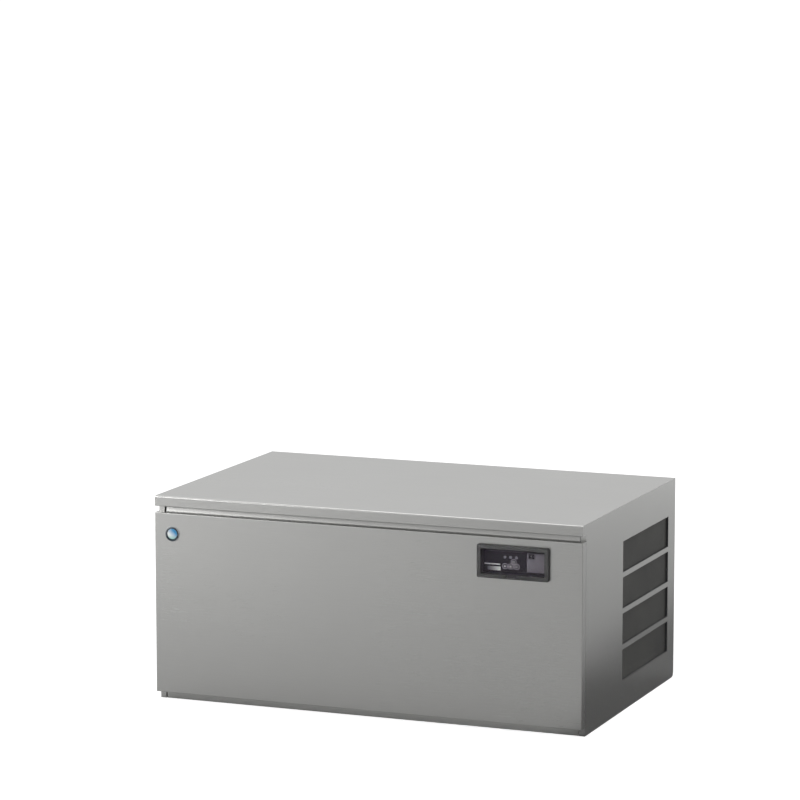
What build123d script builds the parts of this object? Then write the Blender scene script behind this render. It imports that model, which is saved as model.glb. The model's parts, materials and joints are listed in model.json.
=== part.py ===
from build123d import *
import math
import os

os.makedirs("parts", exist_ok=True)

# Modular ice cube machine, the head that stands on an ice bin.
# Frame: millimetres, +Z up, +X to the right, the front faces -Y.
# The origin is the middle of the cabinet's footprint, on the surface it stands on.

# Cabinet
cabinet_width = 1084.0
cabinet_depth = 700.0
cabinet_height = 500.0
sheet = 1.0
base_sheet = 1.5
touch = 0.3
running_clearance = 0.05
hole_clearance = 0.5

# Top panel lip, finger recess, front panel and plinth
lip_height = 25.0
lip_return = 23.0
lip_edge_radius = 4.0
fold_radius = 1.6
recess_height = 15.5
plinth_height = 20.0
plinth_step = 1.5
front_panel_depth = 24.2
front_panel_seam = 0.8

# Side panels
front_flange = 14.0
flange_slot = 2.5
inner_flange = 15.0
foot_corner_radius = 15.0

# Air inlet windows in the right side, and the filter behind them
window_count = 4
window_height = 75.0
window_pitch = 87.4
window_length = 351.4
window_rear_setback = 54.0
lowest_window_z = 75.2
mesh_setback = 4.0
mesh_thickness = 1.0
filter_thickness = 8.0
filter_border = 14.0
guide_leaf_height = 6.0

# Front top rail
rail_sheet = 1.2
rail_drop = 27.0
rail_bend_drop = 2.5
rail_slope_run = 4.0
rail_slope_rise = 21.0
rail_top_flange = 16.0
rail_tab_lap = 20.0
rail_tab_height = 19.0

# Base
base_upstand = 20.0
fixing_hole_radius = 4.5
fixing_side_inset = 42.0
fixing_front_inset = 54.0
fixing_rear_inset = 26.0

# Rear panel
louvre_rows = 9
louvre_columns = 2
louvre_width = 120.0
louvre_height = 12.0
louvre_cut_overlap = 0.01
louvre_depth = 4.0
louvre_pitch_z = 32.0
louvre_gap_x = 20.0
lowest_louvre_z = 130.0
screw_head_radius = 4.0
screw_head_height = 2.2
rear_screw_inset = 8.0
rear_screw_end_inset = 60.0

# Badge
badge_side_inset = 46.0
badge_top_inset = 49.7
badge_radius = 18.5
badge_rim_width = 3.5
badge_rim_height = 3.2
badge_rim_side = 1.6
badge_rim_inner_side = 1.9
badge_crown_width = 1.6
badge_dome_height = 2.6
badge_dome_edge = 1.0
badge_dome_gap = 0.1

# Control bezel and its flap
bezel_side_inset = 168.8
bezel_top_inset = 56.5
bezel_opening_width = 158.0
bezel_opening_height = 59.5
bezel_border_x = 9.5
bezel_border_z = 9.75
bezel_proud = 8.0
bezel_corner = 5.0
bezel_edge_radius = 1.5
bezel_opening_corner = 3.0
bezel_sleeve_wall = 3.0
bezel_sleeve_depth = 20.0
bezel_lead_in = 0.5
notch_width = 39.0
notch_depth = 7.0
notch_corner = 3.0
notch_floor = 1.5
flap_thickness = 2.0
flap_setback = 1.5
flap_side_clearance = 0.5
flap_corner = 2.0
flap_pin_radius = 1.5
flap_pin_drop = 3.0
flap_pin_reach = 3.2
flap_pin_end_gap = 0.5
flap_pin_root = 2.0
flap_tab_width = 30.0
flap_tab_gap = 1.5
flap_tab_root = 3.0

# Control housing behind the bezel; places are measured from the bezel's middle
fascia_setback = 12.0
housing_wall = 2.0
housing_corner = 2.5
housing_clearance = 0.5
key_offsets = [(-25.2, -12.5), (-11.2, -12.5), (3.3, -12.5), (-4.0, -1.5)]
key_radius = 5.2
key_clearance = 0.3
key_flange = 1.1
key_flange_thickness = 1.6
key_edge_radius = 0.5
key_proud = 1.2
key_travel = 0.8
display_offset = (-52.6, -19.0)
display_width = 33.0
display_height = 9.4
display_corner = 1.0
indicator_offsets = [(-25.6, 9.0), (-11.4, 9.0), (2.8, 9.0)]
indicator_radius = 2.2
lens_clearance = 0.1
lens_proud = 0.3
board_thickness = 1.6
board_setback = 10.0
board_gap = 1.25
board_switch_gap = 8.0
module_height = 13.0
module_left_lap = 2.0
module_right_inset = 0.5
key_switch_radius = 2.5
key_switch_gap = 0.1
standoff_radius = 2.5
standoff_inset = 5.0

# Switch plate and rocker switch
switch_plate_edge_gap = 7.7
switch_plate_rise = -0.8
switch_plate_width = 44.0
switch_plate_height = 45.4
switch_plate_setback = 1.2
switch_plate_gap = 0.2
rocker_offset = (-10.3, 14.8)
rocker_width = 13.0
rocker_height = 9.0
rocker_slot_gap = 0.6
rocker_lean = 6.0
rocker_front = 6.5
rocker_back = 3.0
rocker_dish = 1.2
rocker_pin_radius = 1.2
rocker_pin_reach = 1.3
rocker_pin_setback = 3.5
switch_gap_x = 0.4
switch_gap_z = 1.4
switch_wall_x = 1.8
switch_wall_z = 1.2
switch_floor = 3.0

# Control box
control_box_width = 176.0
control_box_depth = 96.0
control_box_height = 100.0
control_box_rise = 49.0

# Ice compartment
machine_side_width = 389.0
partition_thickness = 25.0
partition_rail_gap = 2.0
liner_side_inset = 33.0
liner_rear_inset = 37.0
liner_top_inset = 35.0
liner_floor_z = 25.0
liner_wall = 3.0
foam_top_gap = 1.5
drop_left_inset = 74.0
drop_right_inset = 68.0
drop_front_inset = 15.0
drop_depth = 135.0
drop_skirt_bottom = 0.5
drop_base_clearance = 1.0
access_side_margin = 29.0
access_bottom_margin = 20.0
access_top_margin = 45.0
cover_thickness = 20.0
cover_front_gap = 2.0
cover_overlap = 8.0
cover_plug_gap = 1.0

# Evaporator
evaporator_left_room = 90.0
evaporator_right_room = 80.0
evaporator_front_room = 167.0
evaporator_rear_room = 146.0
evaporator_drop = 131.0
cell_pitch = 32.0
cell_wall = 2.0
cell_depth = 28.0
cell_taper = 3.0
evaporator_plate = 2.0
refrigerant_tube_radius = 5.0
tube_run_pitch = 34.0
tube_first_run = 34.0
tube_last_margin = 16.0
tube_seat_gap = 0.1
tube_end_inset = 26.0
tube_stub_length = 54.0
hanger_width = 20.0
hanger_sheet = 3.0
hanger_inset_y = 60.0

# Water plate, tank and pump
plate_gap = 1.5
plate_thickness = 10.0
plate_margin_x = 4.0
plate_front_overhang = 22.0
plate_back_overhang = 8.0
plate_slot_width = 6.0
hinge_setback = 10.0
hinge_drop = 0.5
hinge_pin_radius = 4.0
hinge_pin_head = 1.5
hinge_lug_width = 14.0
hinge_lug_radius = 9.0
hinge_lug_inset = 20.0
hinge_lug_root = 10.0
hinge_side_gap = 0.5
hinge_cheek = 4.0
hinge_foot_reach = 20.0
ear_width = 10.0
ear_margin = 5.0
ear_rise = 2.5
peg_root = 4.0
peg_end = 5.0
plate_tilt = 20.0
tank_side_inset = 15.0
tank_front_margin = 17.0
tank_rear_margin = 83.0
tank_height = 80.0
tank_wall = 3.0
tank_taper = 6.0
tank_corner = 18.0
spigot_height = 18.0
spigot_radius = 8.0
spigot_bore_radius = 6.0
spigot_root = 10.0
pump_motor_gap = 4.0
pump_setback = 25.0
pump_rise = 3.0
pump_bowl_radius = 31.0
pump_bowl_height = 30.0
pump_motor_radius = 25.0
pump_motor_height = 72.0
pump_shoulder = 6.0
pump_arm_width = 28.0
pump_arm_thickness = 4.0
pump_arm_lap = 6.0
pump_hose_radius = 4.5
pump_hose_bend = 12.0
pump_hose_run = 42.0

# Cam shaft, crank arms and springs
crank_turn = 150.0
spring_height = 90.0
hook_height = 8.0
hook_setback = 8.0
crank_offset_x = 20.0
crank_thickness = 5.0
crank_width = 14.0
crank_hub_radius = 12.0
crank_bore_fit = 0.02
cam_shaft_radius = 6.0
cam_shaft_engagement = 18.0
crank_pin_radius = 2.6
crank_pin_length = 15.0
spring_plane_offset = 11.0
spring_wire = 1.1
spring_coil_radius = 6.0
spring_loop_radius = 4.1
spring_turns = 6
spring_tail = 6.0
spring_bridge = 0.5
gearbox_size = 60.0
gearbox_depth = 38.0
gearbox_corner = 6.0
gearbox_foot_depth = 12.0
gearbox_foot_lap = 8.0
gearbox_foot_inset = 6.0
gear_motor_radius = 13.0
gear_motor_height = 34.0
gear_motor_inset = 14.0
bearing_gap = 20.0
bearing_plate_thickness = 10.0
bearing_plate_half = 16.0
bearing_foot_reach = 22.0
bearing_foot_sheet = 4.0

# Cube guide, drain pan and bin switch
guide_top_overlap = 12.0
guide_top_drop = 206.0
guide_thickness = 3.0
guide_foot = 16.0
guide_bend = 4.0
guide_side_inset = 10.0
guide_rib_count = 11
guide_rib_width = 4.0
guide_rib_height = 6.0
guide_rib_inset = 8.0
drain_pan_gap = 26.0
drain_pan_rear_gap = 23.0
drain_pan_side_inset = 5.0
drain_pan_height = 26.0
drain_pan_wall = 2.5
drain_pan_corner = 8.0
lever_front_inset = 12.0
lever_side_inset = 45.0
lever_z = 72.0
lever_width = 50.0
lever_length = 64.0
lever_thickness = 2.0
lever_corner = 8.0
lever_rod_radius = 3.0
lever_housing_gap = 9.0
lever_housing_width = 26.0
lever_housing_front = 14.0
lever_housing_back = 16.0
lever_housing_corner = 3.0
lever_end_wall = 5.0
lever_end_gap = 1.0

# Machine compartment
condenser_side_inset = 14.0
condenser_thickness = 50.0
condenser_lap = 4.5
fin_pitch = 7.5
fin_slot_share = 0.62
fin_slot_depth = 18.0
end_plate = 2.0
end_plate_foot = 14.0
condenser_tube_rows = 6
condenser_tube_radius = 4.8
return_bend_reach = 6.0
shroud_depth = 38.0
shroud_sheet = 1.2
shroud_ring_depth = 14.0
shroud_ring_wall = 2.5
shroud_ring_margin = 10.0
fan_tip_gap = 8.0
fan_hub_radius = 38.0
fan_hub_length = 34.0
fan_hub_wall = 3.0
fan_hub_face = 4.0
fan_boss_radius = 9.0
fan_hub_lead = 22.0
fan_blades = 5
blade_root_chord = 52.0
blade_tip_chord = 92.0
blade_root_pitch = 38.0
blade_tip_pitch = 24.0
blade_thickness = 2.4
fan_shaft_radius = 4.0
shaft_in_motor = 30.0
motor_radius = 42.0
motor_length = 60.0
motor_shoulder = 8.0
motor_boss_radius = 12.0
motor_lead = 38.0
motor_bracket_width = 34.0
motor_bracket_sheet = 2.0
motor_bracket_foot = 10.0
motor_boss_clearance = 0.3
compressor_partition_gap = 122.0
compressor_front_inset = 165.0
compressor_radius = 80.0
compressor_bottom_z = 27.0
compressor_height = 205.0
compressor_dome = 16.0
compressor_base_radius = 58.0
compressor_foot_size = 190.0
compressor_foot_corner = 20.0
compressor_foot_sheet = 3.0
compressor_seam_z = 107.0
compressor_seam_height = 8.0
compressor_seam_proud = 3.0
discharge_height = 150.0
suction_height = 90.0
hot_gas_height = 250.0
grommet_pitch = 160.0
grommet_radius = 13.0
grommet_neck = 8.0
grommet_rise = 6.0
terminal_cover_height = 58.0
terminal_cover_size = 45.0
terminal_cover_width = 52.0
terminal_cover_proud = 26.0
drier_condenser_gap = 38.0
drier_radius = 13.0
drier_bottom_z = 130.0
drier_length = 100.0
drier_neck = 8.0
drier_cone = 12.0
pipe_radius = 5.0
pipe_socket_wall = 2.0
pipe_bend = 14.0
pipe_hole_gap = 2.0
valve_gap = 42.0
valve_size = 24.0
valve_narrowing = 4.0
valve_head_cap = 8.0
valve_head_lip = 5.0
valve_head_waist = 9.0
valve_head_height = 13.0
valve_head_radius = 20.0
riser_gap = 42.0
suction_x_gap = 50.0
hot_gas_tail_gap = 14.0
hot_gas_rise = 50.0
hot_gas_offset = 10.0
coil_size = 34.0
coil_height = 30.0
coil_inset = 4.0
valve_body_length = 32.0
valve_stem = 14.0

# Water, drain and power connections
inlet_partition_gap = 57.0
inlet_z = 85.0
fitting_thread_radius = 13.2
fitting_stub = 20.0
inlet_hexagon = 17.0
inlet_hexagon_depth = 6.0
inlet_neck_radius = 10.0
inlet_bore_radius = 7.0
inlet_valve_gap = 12.0
inlet_valve_depth = 40.0
inlet_valve_width = 36.0
inlet_valve_height = 32.0
inlet_coil_width = 48.0
inlet_coil_height = 30.0
inlet_outlet_rise = 14.0
feed_rise = 26.0
feed_setback = 12.0
feed_end_inset = 10.0
supply_slope = 60.0
supply_setback = 26.0
drain_z = 42.0
drain_body_radius = 12.0
drain_bore_radius = 8.0
drain_flange_radius = 19.0
drain_flange = 5.0
drain_hole_gap = 1.0
gland_side_inset = 62.0
gland_z = 50.0
gland_wall = 5.0
gland_hexagon = 13.0
gland_hexagon_depth = 7.0
gland_dome_radius = 10.5
gland_dome_height = 16.0
gland_lip = 1.5
gland_nut_depth = 5.0
gland_thread_length = 10.0
cable_radius = 4.5

# Cabinet lines
half_width = cabinet_width / 2
front_y = -cabinet_depth / 2
back_y = cabinet_depth / 2
inner_x = half_width - sheet
top_under_z = cabinet_height - sheet
lip_bottom_z = cabinet_height - lip_height
panel_top_z = lip_bottom_z - recess_height
side_front_y = front_y + front_panel_depth + front_panel_seam
plinth_y = side_front_y + plinth_step
slot_edge_x = half_width - front_flange - flange_slot
rear_inner_y = back_y - sheet
rear_flange_y = rear_inner_y - sheet
base_back_y = rear_flange_y - base_sheet
rail_y = plinth_y + base_sheet
rail_back_y = rail_y + rail_sheet
rail_bottom_z = panel_top_z - rail_drop
fixing_x = half_width - fixing_side_inset
fixing_rows = (front_y + fixing_front_inset, back_y - fixing_rear_inset)
window_back_y = back_y - window_rear_setback
window_front_y = window_back_y - window_length
window_top_z = lowest_window_z + (window_count - 1) * window_pitch + window_height

# Badge and controls
badge_x = -half_width + badge_side_inset
badge_z = panel_top_z - badge_top_inset
bezel_x = half_width - bezel_side_inset
bezel_z = panel_top_z - bezel_top_inset
bezel_width = bezel_opening_width + 2 * bezel_border_x
bezel_height = bezel_opening_height + 2 * bezel_border_z
opening_top_z = bezel_z + bezel_opening_height / 2
opening_bottom_z = bezel_z - bezel_opening_height / 2
flap_pin_y = front_y - bezel_proud + flap_setback + flap_thickness / 2
flap_pin_z = opening_top_z - flap_pin_drop
flap_pin_end = bezel_opening_width / 2 + flap_pin_reach
fascia_y = front_y + fascia_setback
fascia_back_y = fascia_y + housing_wall
housing_width = bezel_opening_width - 2 * housing_clearance
housing_height = bezel_opening_height - 2 * housing_clearance
housing_inside_x = housing_width / 2 - housing_wall
housing_inside_z = housing_height / 2 - housing_wall
key_places = [(bezel_x + dx, bezel_z + dz) for dx, dz in key_offsets]
indicator_places = [(bezel_x + dx, bezel_z + dz) for dx, dz in indicator_offsets]
display_x = bezel_x + display_offset[0]
display_z = bezel_z + display_offset[1]
key_back_y = fascia_back_y + touch + key_flange_thickness
board_y = fascia_y + board_setback
switch_plate_x = bezel_x + bezel_opening_width / 2 - switch_plate_edge_gap - switch_plate_width / 2
switch_plate_z = bezel_z + switch_plate_rise
switch_plate_y = fascia_y + switch_plate_setback
rocker_x = switch_plate_x + rocker_offset[0]
rocker_z = switch_plate_z + rocker_offset[1]
rocker_pin_y = switch_plate_y + rocker_pin_setback
control_box_top_z = bezel_z + control_box_rise

# Ice compartment
partition_x = half_width - machine_side_width
partition_right_x = partition_x + partition_thickness
liner_left_x = -half_width + liner_side_inset
liner_right_x = partition_x
liner_front_y = rail_y + cover_front_gap + cover_thickness
liner_back_y = back_y - liner_rear_inset
liner_top_z = cabinet_height - liner_top_inset
inside_left_x = liner_left_x + liner_wall
inside_right_x = liner_right_x - liner_wall
inside_front_y = liner_front_y + liner_wall
inside_back_y = liner_back_y - liner_wall
inside_floor_z = liner_floor_z + liner_wall
ceiling_z = liner_top_z - liner_wall
access_bottom_z = liner_floor_z + access_bottom_margin
access_top_z = liner_top_z - access_top_margin
drop_left_x = liner_left_x + drop_left_inset
drop_right_x = liner_right_x - drop_right_inset
drop_front_y = liner_front_y + drop_front_inset
drop_back_y = drop_front_y + drop_depth

# Evaporator; as many cells as the compartment has room for
room_x = inside_right_x - inside_left_x - evaporator_left_room - evaporator_right_room
room_y = inside_back_y - inside_front_y - evaporator_front_room - evaporator_rear_room
cells_x = math.floor(room_x / cell_pitch)
cells_y = math.floor(room_y / cell_pitch)
evaporator_width = cells_x * cell_pitch + cell_wall
evaporator_length = cells_y * cell_pitch + cell_wall
evaporator_left_x = inside_left_x + evaporator_left_room
evaporator_right_x = evaporator_left_x + evaporator_width
evaporator_x = (evaporator_left_x + evaporator_right_x) / 2
evaporator_front_y = inside_front_y + evaporator_front_room
evaporator_back_y = evaporator_front_y + evaporator_length
evaporator_bottom_z = liner_top_z - evaporator_drop
evaporator_top_z = evaporator_bottom_z + cell_depth + evaporator_plate
tube_z = evaporator_top_z + refrigerant_tube_radius + tube_seat_gap
tube_gaps = math.floor((evaporator_length - tube_first_run - tube_last_margin) / tube_run_pitch)
tube_runs = 2 * ((tube_gaps + 1) // 2)
tube_first_y = evaporator_front_y + tube_first_run
tube_last_y = tube_first_y + (tube_runs - 1) * tube_run_pitch
tube_stub_x = evaporator_right_x + tube_stub_length
feed_y = evaporator_back_y + feed_setback
feed_z = tube_z + feed_rise

# Water plate, tank and pump
plate_top_z = evaporator_bottom_z - plate_gap
plate_bottom_z = plate_top_z - plate_thickness
plate_left_x = evaporator_left_x - plate_margin_x
plate_right_x = evaporator_right_x + plate_margin_x
plate_front_y = evaporator_front_y - plate_front_overhang
plate_back_y = evaporator_back_y + plate_back_overhang
hinge_y = plate_back_y + hinge_setback
hinge_z = plate_bottom_z - hinge_drop
lug_places = (plate_left_x + hinge_lug_inset, plate_right_x - hinge_lug_inset)
hook_y = plate_front_y - hook_setback
hook_z = plate_bottom_z + hook_height
crank_top = (hook_y, hook_z + spring_height)
tank_length = plate_right_x - plate_left_x - 2 * tank_side_inset
tank_front_y = plate_front_y + tank_front_margin
tank_depth = plate_back_y - tank_rear_margin - tank_front_y
tank_y = tank_front_y + tank_depth / 2
pump_x = plate_right_x + pump_motor_radius + pump_motor_gap
pump_y = tank_y + pump_setback
pump_bottom_z = plate_bottom_z - tank_height + pump_rise

# Drive, guide and bin switch
left_crank_x = plate_left_x - crank_offset_x
right_crank_x = plate_right_x + crank_offset_x
gearbox_x = inside_right_x - gearbox_depth
shaft_end_x = gearbox_x + cam_shaft_engagement
bearing_plate_x = left_crank_x - bearing_gap - bearing_plate_thickness
guide_top_y = evaporator_front_y + guide_top_overlap
guide_top_z = evaporator_bottom_z - guide_top_drop
drain_pan_back_y = liner_back_y - drain_pan_rear_gap
lever_x = drop_right_x - lever_side_inset
lever_y = drop_front_y + lever_front_inset
lever_housing_x = drop_right_x + lever_housing_gap

# Machine compartment
condenser_x = half_width - condenser_side_inset - condenser_thickness
condenser_front_y = window_front_y - condenser_lap
condenser_back_y = window_back_y + condenser_lap
condenser_length = condenser_back_y - condenser_front_y
condenser_bottom_z = lowest_window_z - condenser_lap
condenser_top_z = window_top_z + condenser_lap
condenser_height = condenser_top_z - condenser_bottom_z
fin_count = math.floor(condenser_length / fin_pitch)
row_pitch = condenser_height / condenser_tube_rows
row_z = [condenser_bottom_z + (row + 0.5) * row_pitch for row in range(condenser_tube_rows)]
tube_x = condenser_x + condenser_thickness / 2
shroud_x = condenser_x - shroud_depth
shroud_ring_radius = min(condenser_height, condenser_length) / 2 - shroud_ring_margin
shroud_opening = shroud_ring_radius - shroud_ring_wall
fan_radius = shroud_opening - fan_tip_gap
fan_y = (condenser_front_y + condenser_back_y) / 2
fan_z = (condenser_bottom_z + condenser_top_z) / 2
fan_hub_x = shroud_x - fan_hub_lead
motor_face_x = shroud_x - motor_lead
compressor_x = partition_right_x + compressor_partition_gap
compressor_y = front_y + compressor_front_inset
discharge_z = compressor_bottom_z + discharge_height
suction_z = compressor_bottom_z + suction_height
hot_gas_z = compressor_bottom_z + hot_gas_height
hot_gas_x = compressor_x + hot_gas_offset
riser_x = compressor_x + compressor_radius + riser_gap
drier_x = condenser_x - drier_condenser_gap
drier_y = compressor_y
valve_x = partition_right_x + valve_gap

# Connections
inlet_x = partition_right_x + inlet_partition_gap
inlet_valve_y = rear_inner_y - inlet_valve_gap
supply_y = inlet_valve_y - supply_setback
gland_x = half_width - gland_side_inset
gland_thread_radius = cable_radius + gland_wall


def tilted(point, degrees):
    """Where a (y, z) point on the water plate goes when the plate drops by that angle."""
    angle = math.radians(degrees)
    dy = point[0] - hinge_y
    dz = point[1] - hinge_z
    return (hinge_y + dy * math.cos(angle) - dz * math.sin(angle),
            hinge_z + dy * math.sin(angle) + dz * math.cos(angle))


def crank_centre():
    """Shaft centre from which the crank pin meets the spring's top at both ends of its turn."""
    low = tilted(crank_top, plate_tilt)
    half = (Vector(*low) - Vector(*crank_top)) / 2
    offset_length = half.length / math.tan(math.radians(crank_turn / 2))
    sideways = Vector(half.Y, -half.X).normalized() * offset_length
    middle = Vector(*crank_top) + half
    return (middle + sideways).X, (middle + sideways).Y


shaft_y, shaft_z = crank_centre()
shaft_at = (shaft_y, shaft_z)
crank_reach = math.dist(crank_top, shaft_at)


# Helpers
onto_axis = {"x": Rot(0, 90, 0), "y": Rot(-90, 0, 0), "z": Rot(0, 0, 0)}


def block(x, y, z):
    """Box between three (low, high) pairs."""
    centre = [(low + high) / 2 for low, high in (x, y, z)]
    return Pos(*centre) * Box(x[1] - x[0], y[1] - y[0], z[1] - z[0])


def bar(axis, low, high, across, radius):
    """Round bar along an axis, at the other two coordinates."""
    middle = (low + high) / 2
    places = {"x": (middle, *across), "y": (across[0], middle, across[1]), "z": (*across, middle)}
    return Pos(*places[axis]) * onto_axis[axis] * Cylinder(radius, high - low)


def ring(axis, low, high, across, radius, bore):
    """Round tube along an axis."""
    return bar(axis, low, high, across, radius) - bar(axis, low - 1, high + 1, across, bore)


def around(middle, width):
    """Low and high ends of a width about its middle."""
    return (middle - width / 2, middle + width / 2)


def front_plate(x, z, width, height, corner, y):
    """Round-cornered plate that faces the front, between two y values."""
    outline = Plane.XZ * RectangleRounded(width, height, corner)
    return Pos(x, y[1], z) * extrude(outline, amount=y[1] - y[0])


def bent_sheet(points, thickness, radii, x):
    """Sheet folded along X from its outer (y, z) line, with its thickness to the right of the line."""
    with BuildSketch(Plane.YZ) as profile:
        with BuildLine():
            FilletPolyline(*points, radius=radii)
            offset(amount=thickness, side=Side.RIGHT)
        make_face()
    return Pos(x[0], 0, 0) * extrude(profile.sketch, amount=x[1] - x[0])


def turned(points, place, turn):
    """Solid of revolution from (radius, height) points, turned onto its place."""
    with BuildSketch(Plane.XZ) as profile:
        with BuildLine():
            Polyline(*points, close=True)
        make_face()
    return Pos(*place) * turn * revolve(profile.sketch, Axis.Z)


def pipe(points, radius=pipe_radius, bend=pipe_bend):
    """Round pipe along straight runs joined by tangent bends."""
    path = FilletPolyline(*points, radius=bend)
    return sweep(Plane(origin=path @ 0, z_dir=path % 0) * Circle(radius), path)


def cap_point(radius, base, top):
    """Point halfway along a shallow dome's arc, so that the dome is part of a sphere."""
    rise = top - base
    sphere = (radius ** 2 + rise ** 2) / (2 * rise)
    half_angle = math.asin(radius / sphere) / 2
    return sphere * math.sin(half_angle), top - sphere + sphere * math.cos(half_angle)


def group(solids):
    """Separate solids kept as one node."""
    return Compound(children=list(solids))


def save(part, name):
    export_step(part, f"parts/{name}.step")


# Cabinet shell
def base_pan():
    x = (-inner_x, inner_x)
    pan = block(x, (rail_y, rear_flange_y), (0, base_sheet))
    pan += block((-slot_edge_x, slot_edge_x), (plinth_y, rail_y), (0, plinth_height))
    pan += block(x, (base_back_y, rear_flange_y), (0, base_upstand))
    for side in (-1, 1):
        edge = sorted((side * inner_x, side * (inner_x - base_sheet)))
        pan += block(edge, (rail_y, rear_flange_y), (0, base_upstand))
        for y in fixing_rows:
            pan -= bar("z", -1, base_sheet + 1, (side * fixing_x, y), fixing_hole_radius)
    gap = drop_base_clearance
    return pan - block((drop_left_x - gap, drop_right_x + gap),
                       (drop_front_y - gap, drop_back_y + gap), (-1, base_sheet + 1))


def side_panel():
    """Right-hand side panel without its windows."""
    panel = block((inner_x, half_width), (side_front_y, back_y), (0, top_under_z))
    heel = panel.edges().filter_by(Axis.X).sort_by(Axis.Y)[-2:].sort_by(Axis.Z)[0]
    panel = fillet(heel, foot_corner_radius)
    ear_low_z = lip_bottom_z + sheet
    ear = block((inner_x, half_width), (front_y + sheet, side_front_y), (ear_low_z, top_under_z))
    ear = fillet(ear.edges().filter_by(Axis.X).sort_by(Axis.Y)[:2].sort_by(Axis.Z)[-1], lip_edge_radius - sheet)
    ear = fillet(ear.edges().filter_by(Axis.X).sort_by(Axis.Z)[:2].sort_by(Axis.Y)[0], fold_radius - sheet)
    panel += ear
    panel += block((half_width - front_flange, half_width), (side_front_y, side_front_y + sheet),
                   (0, lip_bottom_z - touch))
    turned_in = (inner_x - inner_flange, inner_x)
    panel += block(turned_in, (side_front_y, rear_inner_y), (top_under_z - sheet, top_under_z))
    panel += block(turned_in, (rear_flange_y, rear_inner_y), (foot_corner_radius, top_under_z))
    return panel


def window_rows():
    """Low and high z of each air inlet window."""
    lows = [lowest_window_z + row * window_pitch for row in range(window_count)]
    return [(low, low + window_height) for low in lows]


def right_side_panel():
    panel = side_panel()
    for z in window_rows():
        panel -= block((inner_x - 1, half_width + 1), (window_front_y, window_back_y), z)
    return panel + filter_guides()


def top_panel():
    line = [(front_y + lip_return, lip_bottom_z), (front_y, lip_bottom_z),
            (front_y, cabinet_height), (back_y, cabinet_height)]
    return bent_sheet(line, sheet, [fold_radius, lip_edge_radius], (-half_width, half_width))


def front_top_rail():
    """Rail behind the recess: an upright lower part, a slope, and a flange under the top."""
    bend_z = panel_top_z - rail_bend_drop
    back = rail_y + rail_slope_run
    line = [(rail_y, rail_bottom_z), (rail_y, bend_z), (back, bend_z + rail_slope_rise),
            (back, top_under_z), (back + rail_top_flange, top_under_z)]
    rail = bent_sheet(line, rail_sheet, fold_radius + rail_sheet, (-slot_edge_x, slot_edge_x))
    for side in (-1, 1):
        tab = sorted((side * (slot_edge_x - rail_tab_lap), side * inner_x))
        rail += block(tab, (rail_y, rail_back_y), (rail_bottom_z, rail_bottom_z + rail_tab_height))
    return rail


def rear_panel():
    panel = block((-inner_x + touch, inner_x - touch), (rear_inner_y, back_y),
                  (base_sheet, top_under_z - touch))
    middle_x = (partition_right_x + inner_x) / 2
    for column in range(louvre_columns):
        offset_x = (column - (louvre_columns - 1) / 2) * (louvre_width + louvre_gap_x)
        for row in range(louvre_rows):
            place = (middle_x + offset_x, lowest_louvre_z + row * louvre_pitch_z)
            hood, mouth = louvre(*place)
            panel = panel + hood - mouth
    for x, z, radius in rear_holes():
        panel -= bar("y", rear_inner_y - 1, back_y + 1, (x, z), radius)
    return panel


def louvre(x, z):
    """One pressed-out louvre, open at its lower edge, and the cut that hollows it."""
    slope = louvre_height / louvre_depth
    with BuildSketch(Plane.YZ) as outer:
        with BuildLine():
            Polyline((back_y, z), (back_y + louvre_depth, z), (back_y, z + louvre_height), close=True)
        make_face()
    with BuildSketch(Plane.YZ) as inner:
        with BuildLine():
            Polyline((rear_inner_y - 1, z - louvre_cut_overlap), (back_y + louvre_depth - sheet, z - louvre_cut_overlap),
                     (rear_inner_y - 1, z + (louvre_depth + 1) * slope), close=True)
        make_face()
    hood = Pos(x - louvre_width / 2, 0, 0) * extrude(outer.sketch, amount=louvre_width)
    mouth = Pos(x - louvre_width / 2 + sheet, 0, 0) * extrude(inner.sketch, amount=louvre_width - 2 * sheet)
    return hood, mouth


def rear_holes():
    """Service holes in the rear panel: (x, z, radius)."""
    return [(evaporator_x, drain_z, fitting_thread_radius), (inlet_x, inlet_z, fitting_thread_radius),
            (gland_x, gland_z, gland_thread_radius + hole_clearance)]


def rear_screws():
    edge_x = inner_x - rear_screw_inset
    rows = (rear_screw_end_inset, cabinet_height / 2, cabinet_height - rear_screw_end_inset)
    return group(bar("y", back_y, back_y + screw_head_height, (side * edge_x, z), screw_head_radius)
                 for z in rows for side in (-1, 1))


def front_panel():
    depth = (front_y, front_y + front_panel_depth)
    panel = block((-half_width, half_width), depth, (plinth_height, panel_top_z))
    front_face = panel.faces().sort_by(Axis.Y)[0]
    panel = fillet(front_face.edges(), fold_radius)
    panel -= block((-inner_x, inner_x), (front_y + sheet, depth[1] + 1),
                   (plinth_height + sheet, panel_top_z - sheet))
    border = 2 * (bezel_sleeve_wall + bezel_lead_in)
    return panel - front_plate(bezel_x, bezel_z, bezel_opening_width + border, bezel_opening_height + border,
                               bezel_opening_corner, (front_y - 1, front_y + sheet + 1))


# Badge
def badge_rim():
    inner = badge_radius - badge_rim_width
    crown = around((badge_radius + inner) / 2, badge_crown_width)
    points = [(inner, 0), (badge_radius, 0), (badge_radius, badge_rim_side), (crown[1], badge_rim_height),
              (crown[0], badge_rim_height), (inner, badge_rim_inner_side)]
    return turned(points, (badge_x, front_y, badge_z), Rot(90, 0, 0))


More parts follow.
